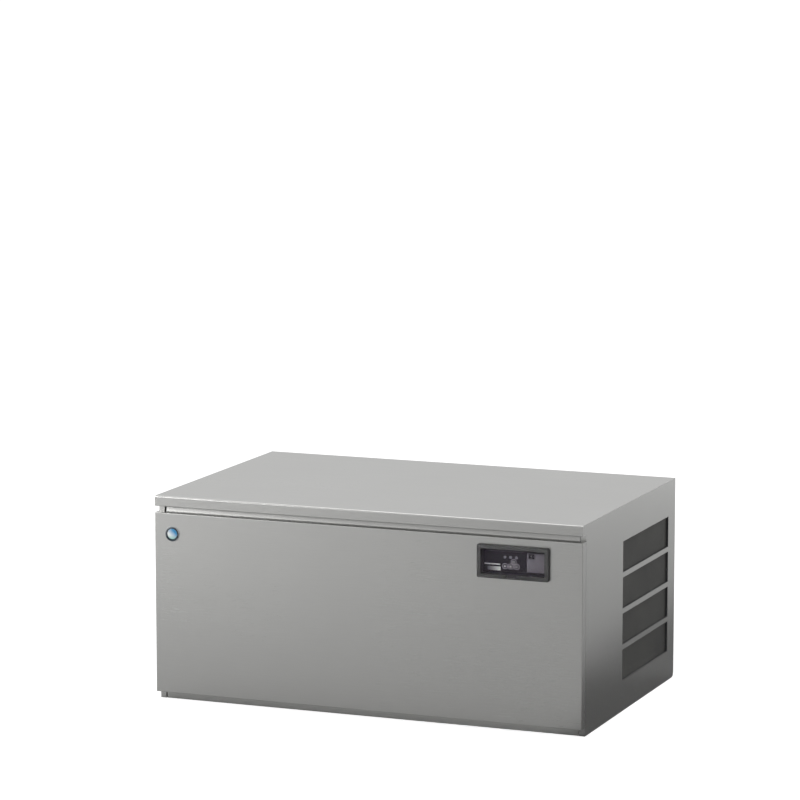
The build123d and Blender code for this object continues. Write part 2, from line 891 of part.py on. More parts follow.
def badge_dome():
    radius = badge_radius - badge_rim_width - badge_dome_gap
    edge = (radius, badge_dome_edge)
    with BuildSketch(Plane.XZ) as profile:
        with BuildLine():
            Line((0, 0), (radius, 0))
            Line((radius, 0), edge)
            ThreePointArc(edge, cap_point(*edge, badge_dome_height), (0, badge_dome_height))
            Line((0, badge_dome_height), (0, 0))
        make_face()
    return Pos(badge_x, front_y, badge_z) * Rot(90, 0, 0) * revolve(profile.sketch, Axis.Z)


# Control bezel and flap
def control_bezel():
    face_y = front_y - bezel_proud
    sleeve_end_y = front_y + bezel_sleeve_depth
    bezel = front_plate(bezel_x, bezel_z, bezel_width, bezel_height, bezel_corner, (face_y, front_y))
    front_rim = bezel.faces().sort_by(Axis.Y)[0].edges()
    bezel = fillet(front_rim, bezel_edge_radius)
    bezel += front_plate(bezel_x, bezel_z, bezel_opening_width + 2 * bezel_sleeve_wall,
                         bezel_opening_height + 2 * bezel_sleeve_wall, bezel_opening_corner,
                         (front_y, sleeve_end_y))
    bezel -= front_plate(bezel_x, bezel_z, bezel_opening_width, bezel_opening_height,
                         bezel_opening_corner, (face_y - 1, sleeve_end_y + 1))
    bezel -= front_plate(bezel_x, opening_bottom_z, notch_width, 2 * notch_depth, notch_corner,
                         (face_y - 1, front_y - notch_floor))
    return bezel - bar("x", bezel_x - flap_pin_end, bezel_x + flap_pin_end, (flap_pin_y, flap_pin_z),
                       flap_pin_radius + running_clearance)


def window_flap():
    """Flap hung on two pins in the bezel, with a finger tab that reaches into the notch."""
    width = bezel_opening_width - 2 * flap_side_clearance
    low_z = opening_bottom_z + flap_side_clearance
    high_z = opening_top_z - 2 * flap_side_clearance
    y = around(flap_pin_y, flap_thickness)
    flap = front_plate(bezel_x, (low_z + high_z) / 2, width, high_z - low_z, flap_corner, y)
    tab_z = (opening_bottom_z - notch_depth + flap_tab_gap, low_z + flap_tab_root)
    flap += block(around(bezel_x, flap_tab_width), y, tab_z)
    for side in (-1, 1):
        root = width / 2 - flap_pin_root
        span = sorted((bezel_x + side * root, bezel_x + side * (flap_pin_end - flap_pin_end_gap)))
        flap += bar("x", span[0], span[1], (flap_pin_y, flap_pin_z), flap_pin_radius)
    return flap


# Control housing, keys and lights
def control_housing():
    housing = front_plate(bezel_x, bezel_z, housing_width, housing_height, housing_corner,
                          (fascia_y, rail_back_y))
    housing -= block(around(bezel_x, 2 * housing_inside_x), (fascia_back_y, rail_back_y + 1),
                     around(bezel_z, 2 * housing_inside_z))
    through = (fascia_y - 1, fascia_back_y + 1)
    for place in key_places:
        housing -= bar("y", *through, place, key_radius + key_clearance)
    for place in indicator_places:
        housing -= bar("y", *through, place, indicator_radius + lens_clearance)
    housing -= front_plate(display_x, display_z, display_width, display_height, display_corner, through)
    return housing - block(around(switch_plate_x, switch_plate_width), through,
                           around(switch_plate_z, switch_plate_height))


def key(place):
    flange_y = fascia_back_y + touch
    cap = bar("y", fascia_y - key_proud, flange_y + 1, place, key_radius)
    rim = cap.faces().sort_by(Axis.Y)[0].edges()
    cap = fillet(rim, key_edge_radius)
    return cap + bar("y", flange_y, key_back_y, place, key_radius + key_flange)


def control_board():
    """Board with the display module, a switch behind each key, and standoffs to the control box."""
    left = bezel_x - housing_inside_x + board_gap
    right = switch_plate_x - switch_plate_width / 2 - board_switch_gap
    z = around(bezel_z, 2 * (housing_inside_z - board_gap))
    board_back_y = board_y + board_thickness
    board = block((left, right), (board_y, board_back_y), z)
    module = (display_x - display_width / 2 - module_left_lap, display_x + display_width / 2 - module_right_inset)
    board += block(module, (fascia_back_y, board_y), around(display_z, module_height))
    for place in key_places:
        board += bar("y", key_back_y + key_travel + key_switch_gap, board_y, place, key_switch_radius)
    for post_x in (left + standoff_inset, right - standoff_inset):
        for post_z in (z[0] + standoff_inset, z[1] - standoff_inset):
            board += bar("y", board_back_y, rail_back_y, (post_x, post_z), standoff_radius)
    return board


def display_lenses():
    """Display window and the light pipes that reach forward from the board."""
    window = front_plate(display_x, display_z, display_width - 2 * lens_clearance,
                         display_height - 2 * lens_clearance, display_corner - lens_clearance,
                         (fascia_y - lens_proud, fascia_back_y))
    pipes = [bar("y", fascia_y - lens_proud, board_y, place, indicator_radius) for place in indicator_places]
    return group([window] + pipes)


# Switch plate and rocker
def switch_plate():
    x = around(switch_plate_x, switch_plate_width - 2 * switch_plate_gap)
    z = around(switch_plate_z, switch_plate_height - 2 * switch_plate_gap)
    plate = block(x, (switch_plate_y, rail_back_y), z)
    plate -= block((x[0] + sheet, x[1] - sheet), (switch_plate_y + sheet, rail_back_y + 1),
                   (z[0] - 1, z[1] + 1))
    plate -= block(around(rocker_x, rocker_width + 2 * rocker_slot_gap), (switch_plate_y - 1, switch_plate_y + sheet + 1),
                   around(rocker_z, rocker_height + 2 * rocker_slot_gap))
    return plate + switch_body()


def switch_body():
    """Open-fronted case in which the rocker turns on its pin."""
    y = (switch_plate_y + sheet, rail_back_y)
    inside_x = rocker_width + 2 * switch_gap_x
    inside_z = rocker_height + 2 * switch_gap_z
    body = block(around(rocker_x, inside_x + 2 * switch_wall_x), y, around(rocker_z, inside_z + 2 * switch_wall_z))
    body -= block(around(rocker_x, inside_x), (y[0] - 1, y[1] - switch_floor), around(rocker_z, inside_z))
    pin = around(rocker_x, rocker_width + 2 * rocker_pin_reach + touch)
    return body - bar("x", pin[0], pin[1], (rocker_pin_y, rocker_z), rocker_pin_radius + running_clearance)


def power_rocker():
    """Dished rocker on its pin, leaning to its OFF side."""
    half_z = rocker_height / 2
    with BuildSketch(Plane.YZ) as profile:
        with BuildLine():
            Line((rocker_back, -half_z), (-rocker_front, -half_z))
            ThreePointArc((-rocker_front, -half_z), (rocker_dish - rocker_front, 0), (-rocker_front, half_z))
            Line((-rocker_front, half_z), (rocker_back, half_z))
            Line((rocker_back, half_z), (rocker_back, -half_z))
        make_face()
    rocker = Pos(-rocker_width / 2, 0, 0) * extrude(profile.sketch, amount=rocker_width)
    pin = around(0, rocker_width + 2 * rocker_pin_reach)
    rocker += bar("x", pin[0], pin[1], (0, 0), rocker_pin_radius)
    return Pos(rocker_x, rocker_pin_y, rocker_z) * Rot(rocker_lean, 0, 0) * rocker


def control_box():
    x = around(bezel_x, control_box_width)
    y = (rail_back_y, rail_back_y + control_box_depth)
    z = (control_box_top_z - control_box_height, control_box_top_z)
    return block(x, y, z) - block((x[0] + sheet, x[1] - sheet), (y[0] + sheet, y[1] - sheet),
                                  (z[0] + sheet, z[1] - sheet))


# Air filter
filter_y = (window_front_y - filter_border, window_back_y + filter_border)
filter_z = (lowest_window_z - filter_border, window_top_z + filter_border)


def air_filter_frame():
    x = (inner_x - filter_thickness, inner_x)
    frame = block(x, filter_y, filter_z)
    for z in window_rows():
        frame -= block((x[0] - 1, x[1] + 1), (window_front_y, window_back_y), z)
    return frame


def air_filter_mesh():
    face_x = inner_x - mesh_setback
    return group(block((face_x - mesh_thickness, face_x), (window_front_y, window_back_y), z)
                 for z in window_rows())


def filter_guides():
    """Channels welded to the side above and below the filter, in which it slides forward."""
    outer_x = inner_x - filter_thickness - touch - sheet
    guides = []
    for edge, way in ((filter_z[0], 1), (filter_z[1], -1)):
        web = sorted((edge - way * (touch + sheet), edge - way * touch))
        leaf = sorted((edge - way * (touch + sheet), edge + way * guide_leaf_height))
        guides += [block((outer_x, inner_x), filter_y, web), block((outer_x, outer_x + sheet), filter_y, leaf)]
    return guides


# Ice compartment
def liner_box(shrink=0.0):
    return block((liner_left_x + shrink, liner_right_x - shrink), (liner_front_y + shrink, liner_back_y - shrink),
                 (liner_floor_z + shrink, liner_top_z - shrink))


def wall_pipes():
    """Pipes through the compartment's right wall: (y, z, radius)."""
    hole = refrigerant_tube_radius + pipe_hole_gap
    return [(tube_first_y, tube_z, hole), (tube_last_y, tube_z, hole), (feed_y, feed_z, hole)]


def drain_hole():
    """Bore for the drain fitting through the liner's rear wall and the foam."""
    return bar("y", inside_back_y - 1, back_y, (evaporator_x, drain_z), drain_body_radius + drain_hole_gap)


def ice_liner():
    liner = liner_box() - liner_box(liner_wall)
    liner -= block((liner_left_x + access_side_margin, liner_right_x - access_side_margin),
                   (liner_front_y - 1, inside_front_y + 1), (access_bottom_z, access_top_z))
    wall = liner_wall
    skirt_z = (drop_skirt_bottom, inside_floor_z)
    liner += block((drop_left_x, drop_right_x), (drop_front_y, drop_back_y), skirt_z)
    liner -= block((drop_left_x + wall, drop_right_x - wall), (drop_front_y + wall, drop_back_y - wall),
                   (-1, skirt_z[1] + 1))
    liner -= drain_hole()
    for y, z, radius in wall_pipes():
        liner -= bar("x", inside_right_x - 1, liner_right_x + 1, (y, z), radius)
    return liner


def foam_insulation():
    edge = inner_x - base_sheet
    foam = block((-edge, partition_x), (liner_front_y, base_back_y), (base_sheet, top_under_z - foam_top_gap))
    foam -= liner_box()
    gap = drop_base_clearance
    foam -= block((drop_left_x - gap, drop_right_x + gap), (drop_front_y - gap, drop_back_y + gap),
                  (0, liner_floor_z + 1))
    return foam - drain_hole()


def compartment_partition():
    """Wall between the two compartments, stepped at its top front corner round the rail."""
    y_front = liner_front_y - cover_thickness
    y_step = rail_y + rail_slope_run + rail_top_flange + partition_rail_gap
    step_z = rail_bottom_z - partition_rail_gap
    top = top_under_z - foam_top_gap
    with BuildSketch(Plane.YZ) as profile:
        with BuildLine():
            Polyline((y_front, base_sheet), (base_back_y, base_sheet), (base_back_y, top), (y_step, top),
                     (y_step, step_z), (y_front, step_z), close=True)
        make_face()
    wall = Pos(partition_x, 0, 0) * extrude(profile.sketch, amount=partition_thickness)
    for y, z, radius in wall_pipes():
        wall -= bar("x", partition_x - 1, partition_right_x + 1, (y, z), radius)
    return wall


def inner_front_cover():
    """Insulated cover over the compartment's front opening, with a plug that enters it."""
    x = (liner_left_x + access_side_margin, liner_right_x - access_side_margin)
    z = (access_bottom_z, access_top_z)
    lap = cover_overlap
    cover = block((x[0] - lap, x[1] + lap), (liner_front_y - cover_thickness, liner_front_y),
                  (z[0] - lap, z[1] + lap))
    gap = cover_plug_gap
    return cover + block((x[0] + gap, x[1] - gap), (liner_front_y, inside_front_y), (z[0] + gap, z[1] - gap))


# Evaporator
def evaporator():
    """Copper plate with a grid of downward cells whose walls taper for the cubes' release."""
    body = block((evaporator_left_x, evaporator_right_x), (evaporator_front_y, evaporator_back_y),
                 (evaporator_bottom_z, evaporator_top_z))
    mouth = cell_pitch - cell_wall
    cell = extrude(Rectangle(mouth, mouth), amount=cell_depth, taper=cell_taper)
    cells = []
    for column in range(cells_x):
        for row in range(cells_y):
            x = evaporator_left_x + cell_wall / 2 + (column + 0.5) * cell_pitch
            y = evaporator_front_y + cell_wall / 2 + (row + 0.5) * cell_pitch
            cells.append(Pos(x, y, evaporator_bottom_z) * cell)
    return body - cells


def evaporator_tube():
    """Serpentine on the plate, with both ends leaving to the right."""
    left = evaporator_left_x + tube_end_inset
    right = evaporator_right_x - tube_end_inset
    points = []
    for run in range(tube_runs):
        y = tube_first_y + run * tube_run_pitch
        ends = [right, left] if run % 2 == 0 else [left, right]
        points += [(x, y, tube_z) for x in ends]
    points[0] = (tube_stub_x, tube_first_y, tube_z)
    points[-1] = (tube_stub_x, tube_last_y, tube_z)
    return pipe(points, refrigerant_tube_radius, tube_run_pitch / 2 - 1)


def ceiling_brackets():
    """Four evaporator hangers and the plate with the cam shaft's far bearing."""
    hangers = [shaft_bracket()]
    for side, x in ((1, evaporator_left_x), (-1, evaporator_right_x)):
        for y in (evaporator_front_y + hanger_inset_y, evaporator_back_y - hanger_inset_y):
            width = around(y, hanger_width)
            riser = sorted((x, x + side * hanger_sheet))
            foot = sorted((x, x + side * hanger_width))
            hanger = block(riser, width, (evaporator_top_z, ceiling_z))
            hanger += block(foot, width, (evaporator_top_z, evaporator_top_z + hanger_sheet))
            hanger += block(foot, width, (ceiling_z - hanger_sheet, ceiling_z))
            hangers.append(hanger)
    return group(hangers)


# Water plate and what rides on it
def water_plate():
    """Slotted plate under the cells, with hinge lugs at its rear and spring pegs at its front."""
    z = (plate_bottom_z, plate_top_z)
    plate = block((plate_left_x, plate_right_x), (plate_front_y, plate_back_y), z)
    for row in range(cells_y):
        y = evaporator_front_y + cell_wall / 2 + (row + 0.5) * cell_pitch
        slot = SlotOverall(evaporator_width - cell_pitch, plate_slot_width)
        plate -= Pos(evaporator_x, y, plate_top_z) * extrude(slot, amount=-plate_thickness / 2)
    for x in lug_places:
        width = around(x, hinge_lug_width)
        plate += block(width, (plate_back_y - hinge_lug_root, hinge_y), (hinge_z - hinge_lug_radius, plate_top_z))
        plate += bar("x", width[0], width[1], (hinge_y, hinge_z), hinge_lug_radius)
        plate -= bar("x", width[0] - 1, width[1] + 1, (hinge_y, hinge_z), hinge_pin_radius + running_clearance)
    for side, x in ((-1, plate_left_x), (1, plate_right_x)):
        ear = sorted((x - side * ear_width, x))
        plate += block(ear, (hook_y - ear_margin, plate_front_y), (plate_bottom_z, plate_top_z + ear_rise))
        peg = sorted((x - side * peg_root, x + side * (spring_plane_offset + peg_end)))
        plate += bar("x", peg[0], peg[1], (hook_y, hook_z), crank_pin_radius)
    return plate


def tank_block(shrink):
    """Tapered, round-cornered trough shape under the plate."""
    outline = RectangleRounded(tank_length - 2 * shrink, tank_depth - 2 * shrink, tank_corner - shrink)
    return Pos(evaporator_x, tank_y, plate_bottom_z) * extrude(outline, amount=shrink - tank_height,
                                                               taper=tank_taper)


def water_tank():
    """Tank with the spigot that feeds the pump."""
    at = (pump_y, plate_bottom_z - tank_height + spigot_height)
    start = evaporator_x + tank_length / 2 - spigot_root
    end = pump_x - pump_bowl_radius
    spigot = bar("x", start, end, at, spigot_radius) - tank_block(0)
    bore = bar("x", start - spigot_root, end + 1, at, spigot_bore_radius)
    return tank_block(0) - tank_block(tank_wall) + spigot - bore


def water_pump():
    """Pump bowl with its motor above, held by an arm under the plate."""
    motor_top = pump_bowl_height + pump_motor_height
    points = [(0, 0), (pump_bowl_radius, 0), (pump_bowl_radius, pump_bowl_height),
              (pump_motor_radius, pump_bowl_height + pump_shoulder),
              (pump_motor_radius, motor_top - pump_shoulder),
              (pump_motor_radius - pump_shoulder, motor_top), (0, motor_top)]
    pump = turned(points, (pump_x, pump_y, pump_bottom_z), Rot(0, 0, 0))
    return pump + block((plate_right_x - pump_arm_lap, pump_x), around(pump_y, pump_arm_width),
                        (plate_bottom_z - pump_arm_thickness, plate_bottom_z))


def pump_hose():
    z = pump_bottom_z + pump_bowl_height / 2
    y = pump_y - pump_bowl_radius
    outlet_y = y - pump_hose_run
    plate_z = (plate_top_z + plate_bottom_z) / 2
    return pipe([(pump_x, y, z), (pump_x, outlet_y, z), (pump_x, outlet_y, plate_z),
                 (plate_right_x, outlet_y, plate_z)], pump_hose_radius, pump_hose_bend)


def hinge_brackets():
    """Clevises on the compartment's rear wall, each with its riveted hinge pin."""
    brackets = []
    half = hinge_lug_width / 2 + hinge_side_gap
    outer = half + hinge_cheek
    z = around(hinge_z, 2 * hinge_lug_radius)
    for x in lug_places:
        bracket = block(around(x, 2 * outer), (inside_back_y - hinge_cheek, inside_back_y),
                        (z[0] - hinge_foot_reach, z[1] + hinge_foot_reach))
        for side in (-1, 1):
            cheek = sorted((x + side * half, x + side * outer))
            bracket += block(cheek, (hinge_y, inside_back_y), z)
            bracket += bar("x", cheek[0], cheek[1], (hinge_y, hinge_z), hinge_lug_radius)
        pin = around(x, 2 * (outer + hinge_pin_head))
        brackets.append(bracket + bar("x", pin[0], pin[1], (hinge_y, hinge_z), hinge_pin_radius))
    return group(brackets)


# Cam shaft, cranks and springs
def crank_arm(x, inward):
    """Arm clamped on the shaft, with its pin pointing back towards the plate."""
    span = sorted((x, x - inward * crank_thickness))
    hub = bar("x", span[0], span[1], shaft_at, crank_hub_radius)
    tip = bar("x", span[0], span[1], crank_top, crank_width / 2)
    lean = math.degrees(math.atan2(crank_top[0] - shaft_y, crank_top[1] - shaft_z))
    web = Pos((span[0] + span[1]) / 2, shaft_y, shaft_z) * Rot(-lean, 0, 0) * Pos(0, 0, crank_reach / 2) * Box(
        crank_thickness, crank_width, crank_reach)
    pin = sorted((x, x + inward * crank_pin_length))
    arm = hub + tip + web + bar("x", pin[0], pin[1], crank_top, crank_pin_radius)
    return arm - bar("x", span[0] - 1, span[1] + 1, shaft_at, cam_shaft_radius + crank_bore_fit)


def cam_shaft():
    return bar("x", bearing_plate_x, shaft_end_x, shaft_at, cam_shaft_radius)


def shaft_bracket():
    """Bearing plate that hangs from the ceiling and carries the shaft's left end."""
    x = (bearing_plate_x, bearing_plate_x + bearing_plate_thickness)
    y = around(shaft_y, 2 * bearing_plate_half)
    plate = block(x, y, (shaft_z, ceiling_z))
    plate += bar("x", x[0], x[1], shaft_at, bearing_plate_half)
    plate += block((x[0], x[1] + bearing_foot_reach), y, (ceiling_z - bearing_foot_sheet, ceiling_z))
    return plate - bar("x", x[0] - 1, x[1] + 1, shaft_at, cam_shaft_radius + running_clearance)


def actuator_motor():
    """Gear motor on the compartment's right wall that turns the cam shaft."""
    foot_x = inside_right_x - gearbox_foot_depth
    box = block((gearbox_x, foot_x), around(shaft_y, gearbox_size), around(shaft_z, gearbox_size))
    box = fillet(box.edges().filter_by(Axis.X), gearbox_corner)
    box += block((foot_x, inside_right_x), around(shaft_y, gearbox_size + 2 * gearbox_foot_lap),
                 around(shaft_z, gearbox_size - 2 * gearbox_foot_inset))
    box_top_z = shaft_z + gearbox_size / 2
    box += bar("z", box_top_z, box_top_z + gear_motor_height, (gearbox_x + gear_motor_inset, shaft_y),
               gear_motor_radius)
    return box - bar("x", gearbox_x - 1, shaft_end_x + 1, shaft_at, cam_shaft_radius + running_clearance)


def tilt_spring(x):
    """Extension spring with a loop at each end, drawn out as it hangs when the plate is up."""
    top_z = hook_z + spring_height
    end = spring_loop_radius + spring_tail
    low, high = hook_z + end, top_z - end
    pitch = (high - low) / spring_turns
    path = Helix(pitch, high - low, spring_coil_radius)
    coil = sweep(Plane(origin=path @ 0, z_dir=path % 0) * RegularPolygon(spring_wire, 6), path)
    coil = Pos(x, hook_y, low) * coil
    for centre, way, level in ((hook_z, 1, low), (top_z, -1, high)):
        coil += Pos(x, hook_y, centre) * Rot(0, 90, 0) * Torus(spring_loop_radius, spring_wire)
        tail = sorted((centre + way * spring_loop_radius, level))
        coil += bar("z", tail[0], tail[1], (x, hook_y), spring_wire)
        coil += bar("x", x - spring_bridge, x + spring_coil_radius, (hook_y, level), spring_wire)
    return coil


# Cube guide, drain pan and bin switch
def cube_guide():
    """Ribbed slide that leads the cubes from the plate's edge into the drop opening."""
    foot_y = drop_back_y + liner_wall + guide_thickness
    foot = (foot_y, inside_floor_z)
    x = (drop_left_x + guide_side_inset, drop_right_x - guide_side_inset)
    line = [(foot_y + guide_foot, inside_floor_z), foot, (guide_top_y, guide_top_z)]
    guide = bent_sheet(line, guide_thickness, guide_bend, x)
    angle = math.degrees(math.atan2(guide_top_y - foot_y, guide_top_z - inside_floor_z))
    length = math.dist(foot, (guide_top_y, guide_top_z)) - 2 * guide_rib_inset
    rib = Pos(0, 0.5 - guide_rib_height / 2, length / 2 + guide_rib_inset) * Box(
        guide_rib_width, guide_rib_height + 1, length)
    rib_span = x[1] - x[0] - 2 * guide_rib_inset
    for index in range(guide_rib_count):
        rib_x = x[0] + guide_rib_inset + index * rib_span / (guide_rib_count - 1)
        guide += Pos(rib_x, foot_y, inside_floor_z) * Rot(-angle, 0, 0) * rib
    return guide


def drain_pan():
    x = (drop_left_x + drain_pan_side_inset, drop_right_x - drain_pan_side_inset)
    y = (drop_back_y + liner_wall + guide_thickness + drain_pan_gap, drain_pan_back_y)
    z = (inside_floor_z, inside_floor_z + drain_pan_height)
    wall = drain_pan_wall
    pan = block(x, y, z)
    pan = fillet(pan.edges().filter_by(Axis.Z), drain_pan_corner)
    pan -= block((x[0] + wall, x[1] - wall), (y[0] + wall, y[1] - wall), (z[0] + wall, z[1] + 1))
    return pan - bar("y", y[1] - wall - 1, y[1] + 1, (evaporator_x, drain_z), drain_bore_radius)


def bin_switch_lever():
    """Hanging paddle that the heap of cubes pushes aside, on its pivot rod."""
    lever = block(around(lever_x, lever_width), around(lever_y, lever_thickness), (lever_z - lever_length, lever_z))
    tip = lever.edges().filter_by(Axis.Y).sort_by(Axis.Z)[:2]
    lever = fillet(tip, lever_corner)
    rod_end = lever_housing_x + lever_housing_width - lever_end_wall - lever_end_gap
    return lever + bar("x", lever_x - lever_width / 2, rod_end, (lever_y, lever_z), lever_rod_radius)


def bin_switch_housing():
    x = (lever_housing_x, lever_housing_x + lever_housing_width)
    housing = block(x, (lever_y - lever_housing_front, lever_y + lever_housing_back),
                    (inside_floor_z, lever_z + lever_housing_back))
    housing = fillet(housing.edges().filter_by(Axis.Z), lever_housing_corner)
    return housing - bar("x", x[0] - 1, x[1] - lever_end_wall, (lever_y, lever_z),
                         lever_rod_radius + running_clearance)


# Water and power connections
def drain_fitting():
    """Pipe stub from the drain pan through the rear wall, with its flange and outer thread."""
    at = (evaporator_x, drain_z)
    flange_y = back_y + drain_flange
    body = bar("y", drain_pan_back_y, back_y, at, drain_body_radius)
    body += bar("y", back_y, flange_y, at, drain_flange_radius)
    body += bar("y", flange_y, flange_y + fitting_stub, at, fitting_thread_radius)
    return body - bar("y", drain_pan_back_y - 1, flange_y + fitting_stub + 1, at, drain_bore_radius)


def inlet_valve():
    """Solenoid valve whose threaded inlet comes out through the rear panel."""
    at = (inlet_x, inlet_z)
    thread_y = back_y + inlet_hexagon_depth
    hexagon = extrude(Plane.XZ * RegularPolygon(inlet_hexagon, 6), amount=inlet_hexagon_depth)
    inlet = Pos(inlet_x, thread_y, inlet_z) * hexagon
    inlet += bar("y", thread_y, thread_y + fitting_stub, at, fitting_thread_radius)
    inlet += bar("y", inlet_valve_y, back_y, at, inlet_neck_radius)
    inlet -= bar("y", inlet_valve_y - 1, thread_y + fitting_stub + 1, at, inlet_bore_radius)
    y = (inlet_valve_y - inlet_valve_depth, inlet_valve_y)
    z = around(inlet_z, inlet_valve_height)
    valve = inlet + block(around(inlet_x, inlet_valve_width), y, z)
    valve += block(around(inlet_x, inlet_coil_width), (y[0] + coil_inset, y[1] - coil_inset),
                   (z[0] - inlet_coil_height, z[0]))
    return valve + bar("z", z[1], z[1] + inlet_outlet_rise, (inlet_x, supply_y), pipe_radius + pipe_socket_wall)


def supply_pipe():
    """Rigid pipe from the inlet valve to the sprinkler above the rear of the evaporator."""
    start_z = inlet_z + inlet_valve_height / 2 + inlet_outlet_rise
    return pipe([(inlet_x, supply_y, start_z), (inlet_x, supply_y, feed_z - supply_slope),
                 (inlet_x, feed_y, feed_z), (evaporator_left_x + feed_end_inset, feed_y, feed_z)])


def cable_gland():
    at = (gland_x, gland_z)
    hexagon = RegularPolygon(gland_hexagon, 6)
    dome_y = back_y + gland_hexagon_depth
    outer = Pos(gland_x, dome_y, gland_z) * extrude(Plane.XZ * hexagon, amount=gland_hexagon_depth)
    nut = Pos(gland_x, rear_inner_y, gland_z) * extrude(Plane.XZ * hexagon, amount=gland_nut_depth)
    dome = turned([(cable_radius, 0), (gland_dome_radius, 0), (gland_dome_radius, gland_dome_height / 2),
                   (cable_radius + gland_lip, gland_dome_height), (cable_radius, gland_dome_height)],
                  (gland_x, dome_y, gland_z), Rot(-90, 0, 0))
    thread = bar("y", rear_inner_y - gland_thread_length, back_y, at, gland_thread_radius)
    bore = bar("y", rear_inner_y - gland_thread_length - 1, dome_y + gland_dome_height + 1, at, cable_radius)
    return outer + dome + thread + nut - bore


# Condenser and fan
def condenser():
    """Fin pack cut from both faces down to the tube rows, with its end plates and return bends."""
    return fin_pack() + end_plates() + return_bends()


def fin_pack():
    x = (condenser_x, condenser_x + condenser_thickness)
    z = (condenser_bottom_z, condenser_top_z)
    pack = block(x, (condenser_front_y, condenser_back_y), z)
    pitch = condenser_length / fin_count
    slots = []
    for index in range(fin_count):
        low = condenser_front_y + (index + (1 - fin_slot_share) / 2) * pitch
        y = (low, low + pitch * fin_slot_share)
        slots.append(block((x[0] - 1, x[0] + fin_slot_depth), y, (z[0] - 1, z[1] + 1)))
        slots.append(block((x[1] - fin_slot_depth, x[1] + 1), y, (z[0] - 1, z[1] + 1)))
    return pack - slots


def end_plates():
    """Plates that carry the fin pack and stand on the base."""
    x = (condenser_x, condenser_x + condenser_thickness)
    plates = []
    for inner_y, way in ((condenser_front_y, -1), (condenser_back_y, 1)):
        y = sorted((inner_y, inner_y + way * end_plate))
        foot = sorted((inner_y, inner_y + way * (end_plate + end_plate_foot)))
        plates.append(block(x, y, (base_sheet, condenser_top_z)))
        plates.append(block(x, foot, (base_sheet, base_sheet + end_plate)))
    return plates


def return_bends():
    """Tube bends outside the end plates, joining one row to the next."""
    bends = []
    half = row_pitch / 2
    for row in range(condenser_tube_rows - 1):
        way = -1 if row % 2 == 1 else 1
        y = condenser_front_y - end_plate if way == -1 else condenser_back_y + end_plate
        far_y = y + way * (half + return_bend_reach)
        low, high = row_z[row], row_z[row + 1]
        bends.append(pipe([(tube_x, y, low), (tube_x, far_y, low), (tube_x, far_y, high), (tube_x, y, high)],
                          condenser_tube_radius, half - 1))
    return bends


def fan_shroud():
    """Open box against the condenser, with the ring that the fan turns in."""
    x = (shroud_x, condenser_x)
    y = (condenser_front_y - end_plate, condenser_back_y + end_plate)
    z = (condenser_bottom_z - end_plate, condenser_top_z)
    wall = shroud_sheet
    shroud = block(x, y, z) - block((x[0] + wall, x[1] + 1), (y[0] + wall, y[1] - wall), (z[0] + wall, z[1] - wall))
    mouth_x = x[0] - shroud_ring_depth
    shroud += ring("x", mouth_x, x[0] + wall, (fan_y, fan_z), shroud_ring_radius, shroud_opening)
    return shroud - bar("x", mouth_x - 1, x[0] + wall + 1, (fan_y, fan_z), shroud_opening)


def fan_blade(index):
    """One twisted blade, with the fan's axis along Z and its pitch growing towards the hub."""
    sections = []
    for radius, chord, pitch in ((fan_hub_radius - fan_hub_wall, blade_root_chord, blade_root_pitch),
                                 (fan_radius + fan_hub_wall, blade_tip_chord, blade_tip_pitch)):
        plane = Plane(origin=(0, radius, 0), x_dir=(1, 0, 0), z_dir=(0, 1, 0))
        sections.append(plane * Rot(0, 0, pitch) * Rectangle(chord, blade_thickness))
    blade = loft(Sketch() + sections)
    return Rot(0, 0, index * 360 / fan_blades) * blade


def fan():
    """Bladed rotor pressed on the motor's shaft."""
    rotor = Cylinder(fan_hub_radius, fan_hub_length)
    cup = Pos(0, 0, -fan_hub_face) * Cylinder(fan_hub_radius - fan_hub_wall, fan_hub_length)
    rotor = rotor - cup + Cylinder(fan_boss_radius, fan_hub_length)
    trim_height = 2 * (fan_hub_length + blade_tip_chord)
    trim = Cylinder(fan_radius, trim_height) - Cylinder(fan_hub_radius - fan_hub_wall / 2, trim_height)
    for index in range(fan_blades):
        rotor += fan_blade(index) & trim
    rotor = Pos(fan_hub_x + fan_hub_length / 2, fan_y, fan_z) * Rot(0, 90, 0) * rotor
    shaft_tip_x = fan_hub_x + fan_hub_length + end_plate
    return rotor + bar("x", motor_face_x - shaft_in_motor, shaft_tip_x, (fan_y, fan_z), fan_shaft_radius)


def fan_motor():
    face = motor_face_x - motor_bracket_sheet
    points = [(0, 0), (motor_radius - motor_shoulder, 0), (motor_radius, motor_shoulder),
              (motor_radius, motor_length), (motor_boss_radius, motor_length),
              (motor_boss_radius, motor_length + motor_shoulder), (0, motor_length + motor_shoulder)]
    motor = turned(points, (face - motor_length, fan_y, fan_z), Rot(0, 90, 0))
    return motor - bar("x", motor_face_x - shaft_in_motor - 2, shroud_x, (fan_y, fan_z),
                       fan_shaft_radius + running_clearance)


def motor_bracket():
    """Strap across the shroud's ring that carries the motor."""
    face = motor_face_x - motor_bracket_sheet
    reach = shroud_ring_radius + motor_bracket_foot
    y = around(fan_y, motor_bracket_width)
    strap = block((face, motor_face_x), y, (fan_z - reach, fan_z + reach))
    for way in (-1, 1):
        leg = sorted((fan_z + way * reach, fan_z + way * (reach - motor_bracket_sheet)))
        foot = sorted((fan_z + way * (reach - motor_bracket_sheet), fan_z + way * (reach + motor_bracket_foot)))
        strap += block((face, shroud_x), y, leg)
        strap += block((shroud_x - motor_bracket_sheet, shroud_x), y, foot)
    return strap - bar("x", face - 1, motor_face_x + 1, (fan_y, fan_z), motor_boss_radius + motor_boss_clearance)


# Compressor and refrigerant parts
def compressor():
    """Welded shell with its seam, on a foot plate, with the terminal cover on its left."""
    return compressor_shell() + compressor_foot() + terminal_cover()


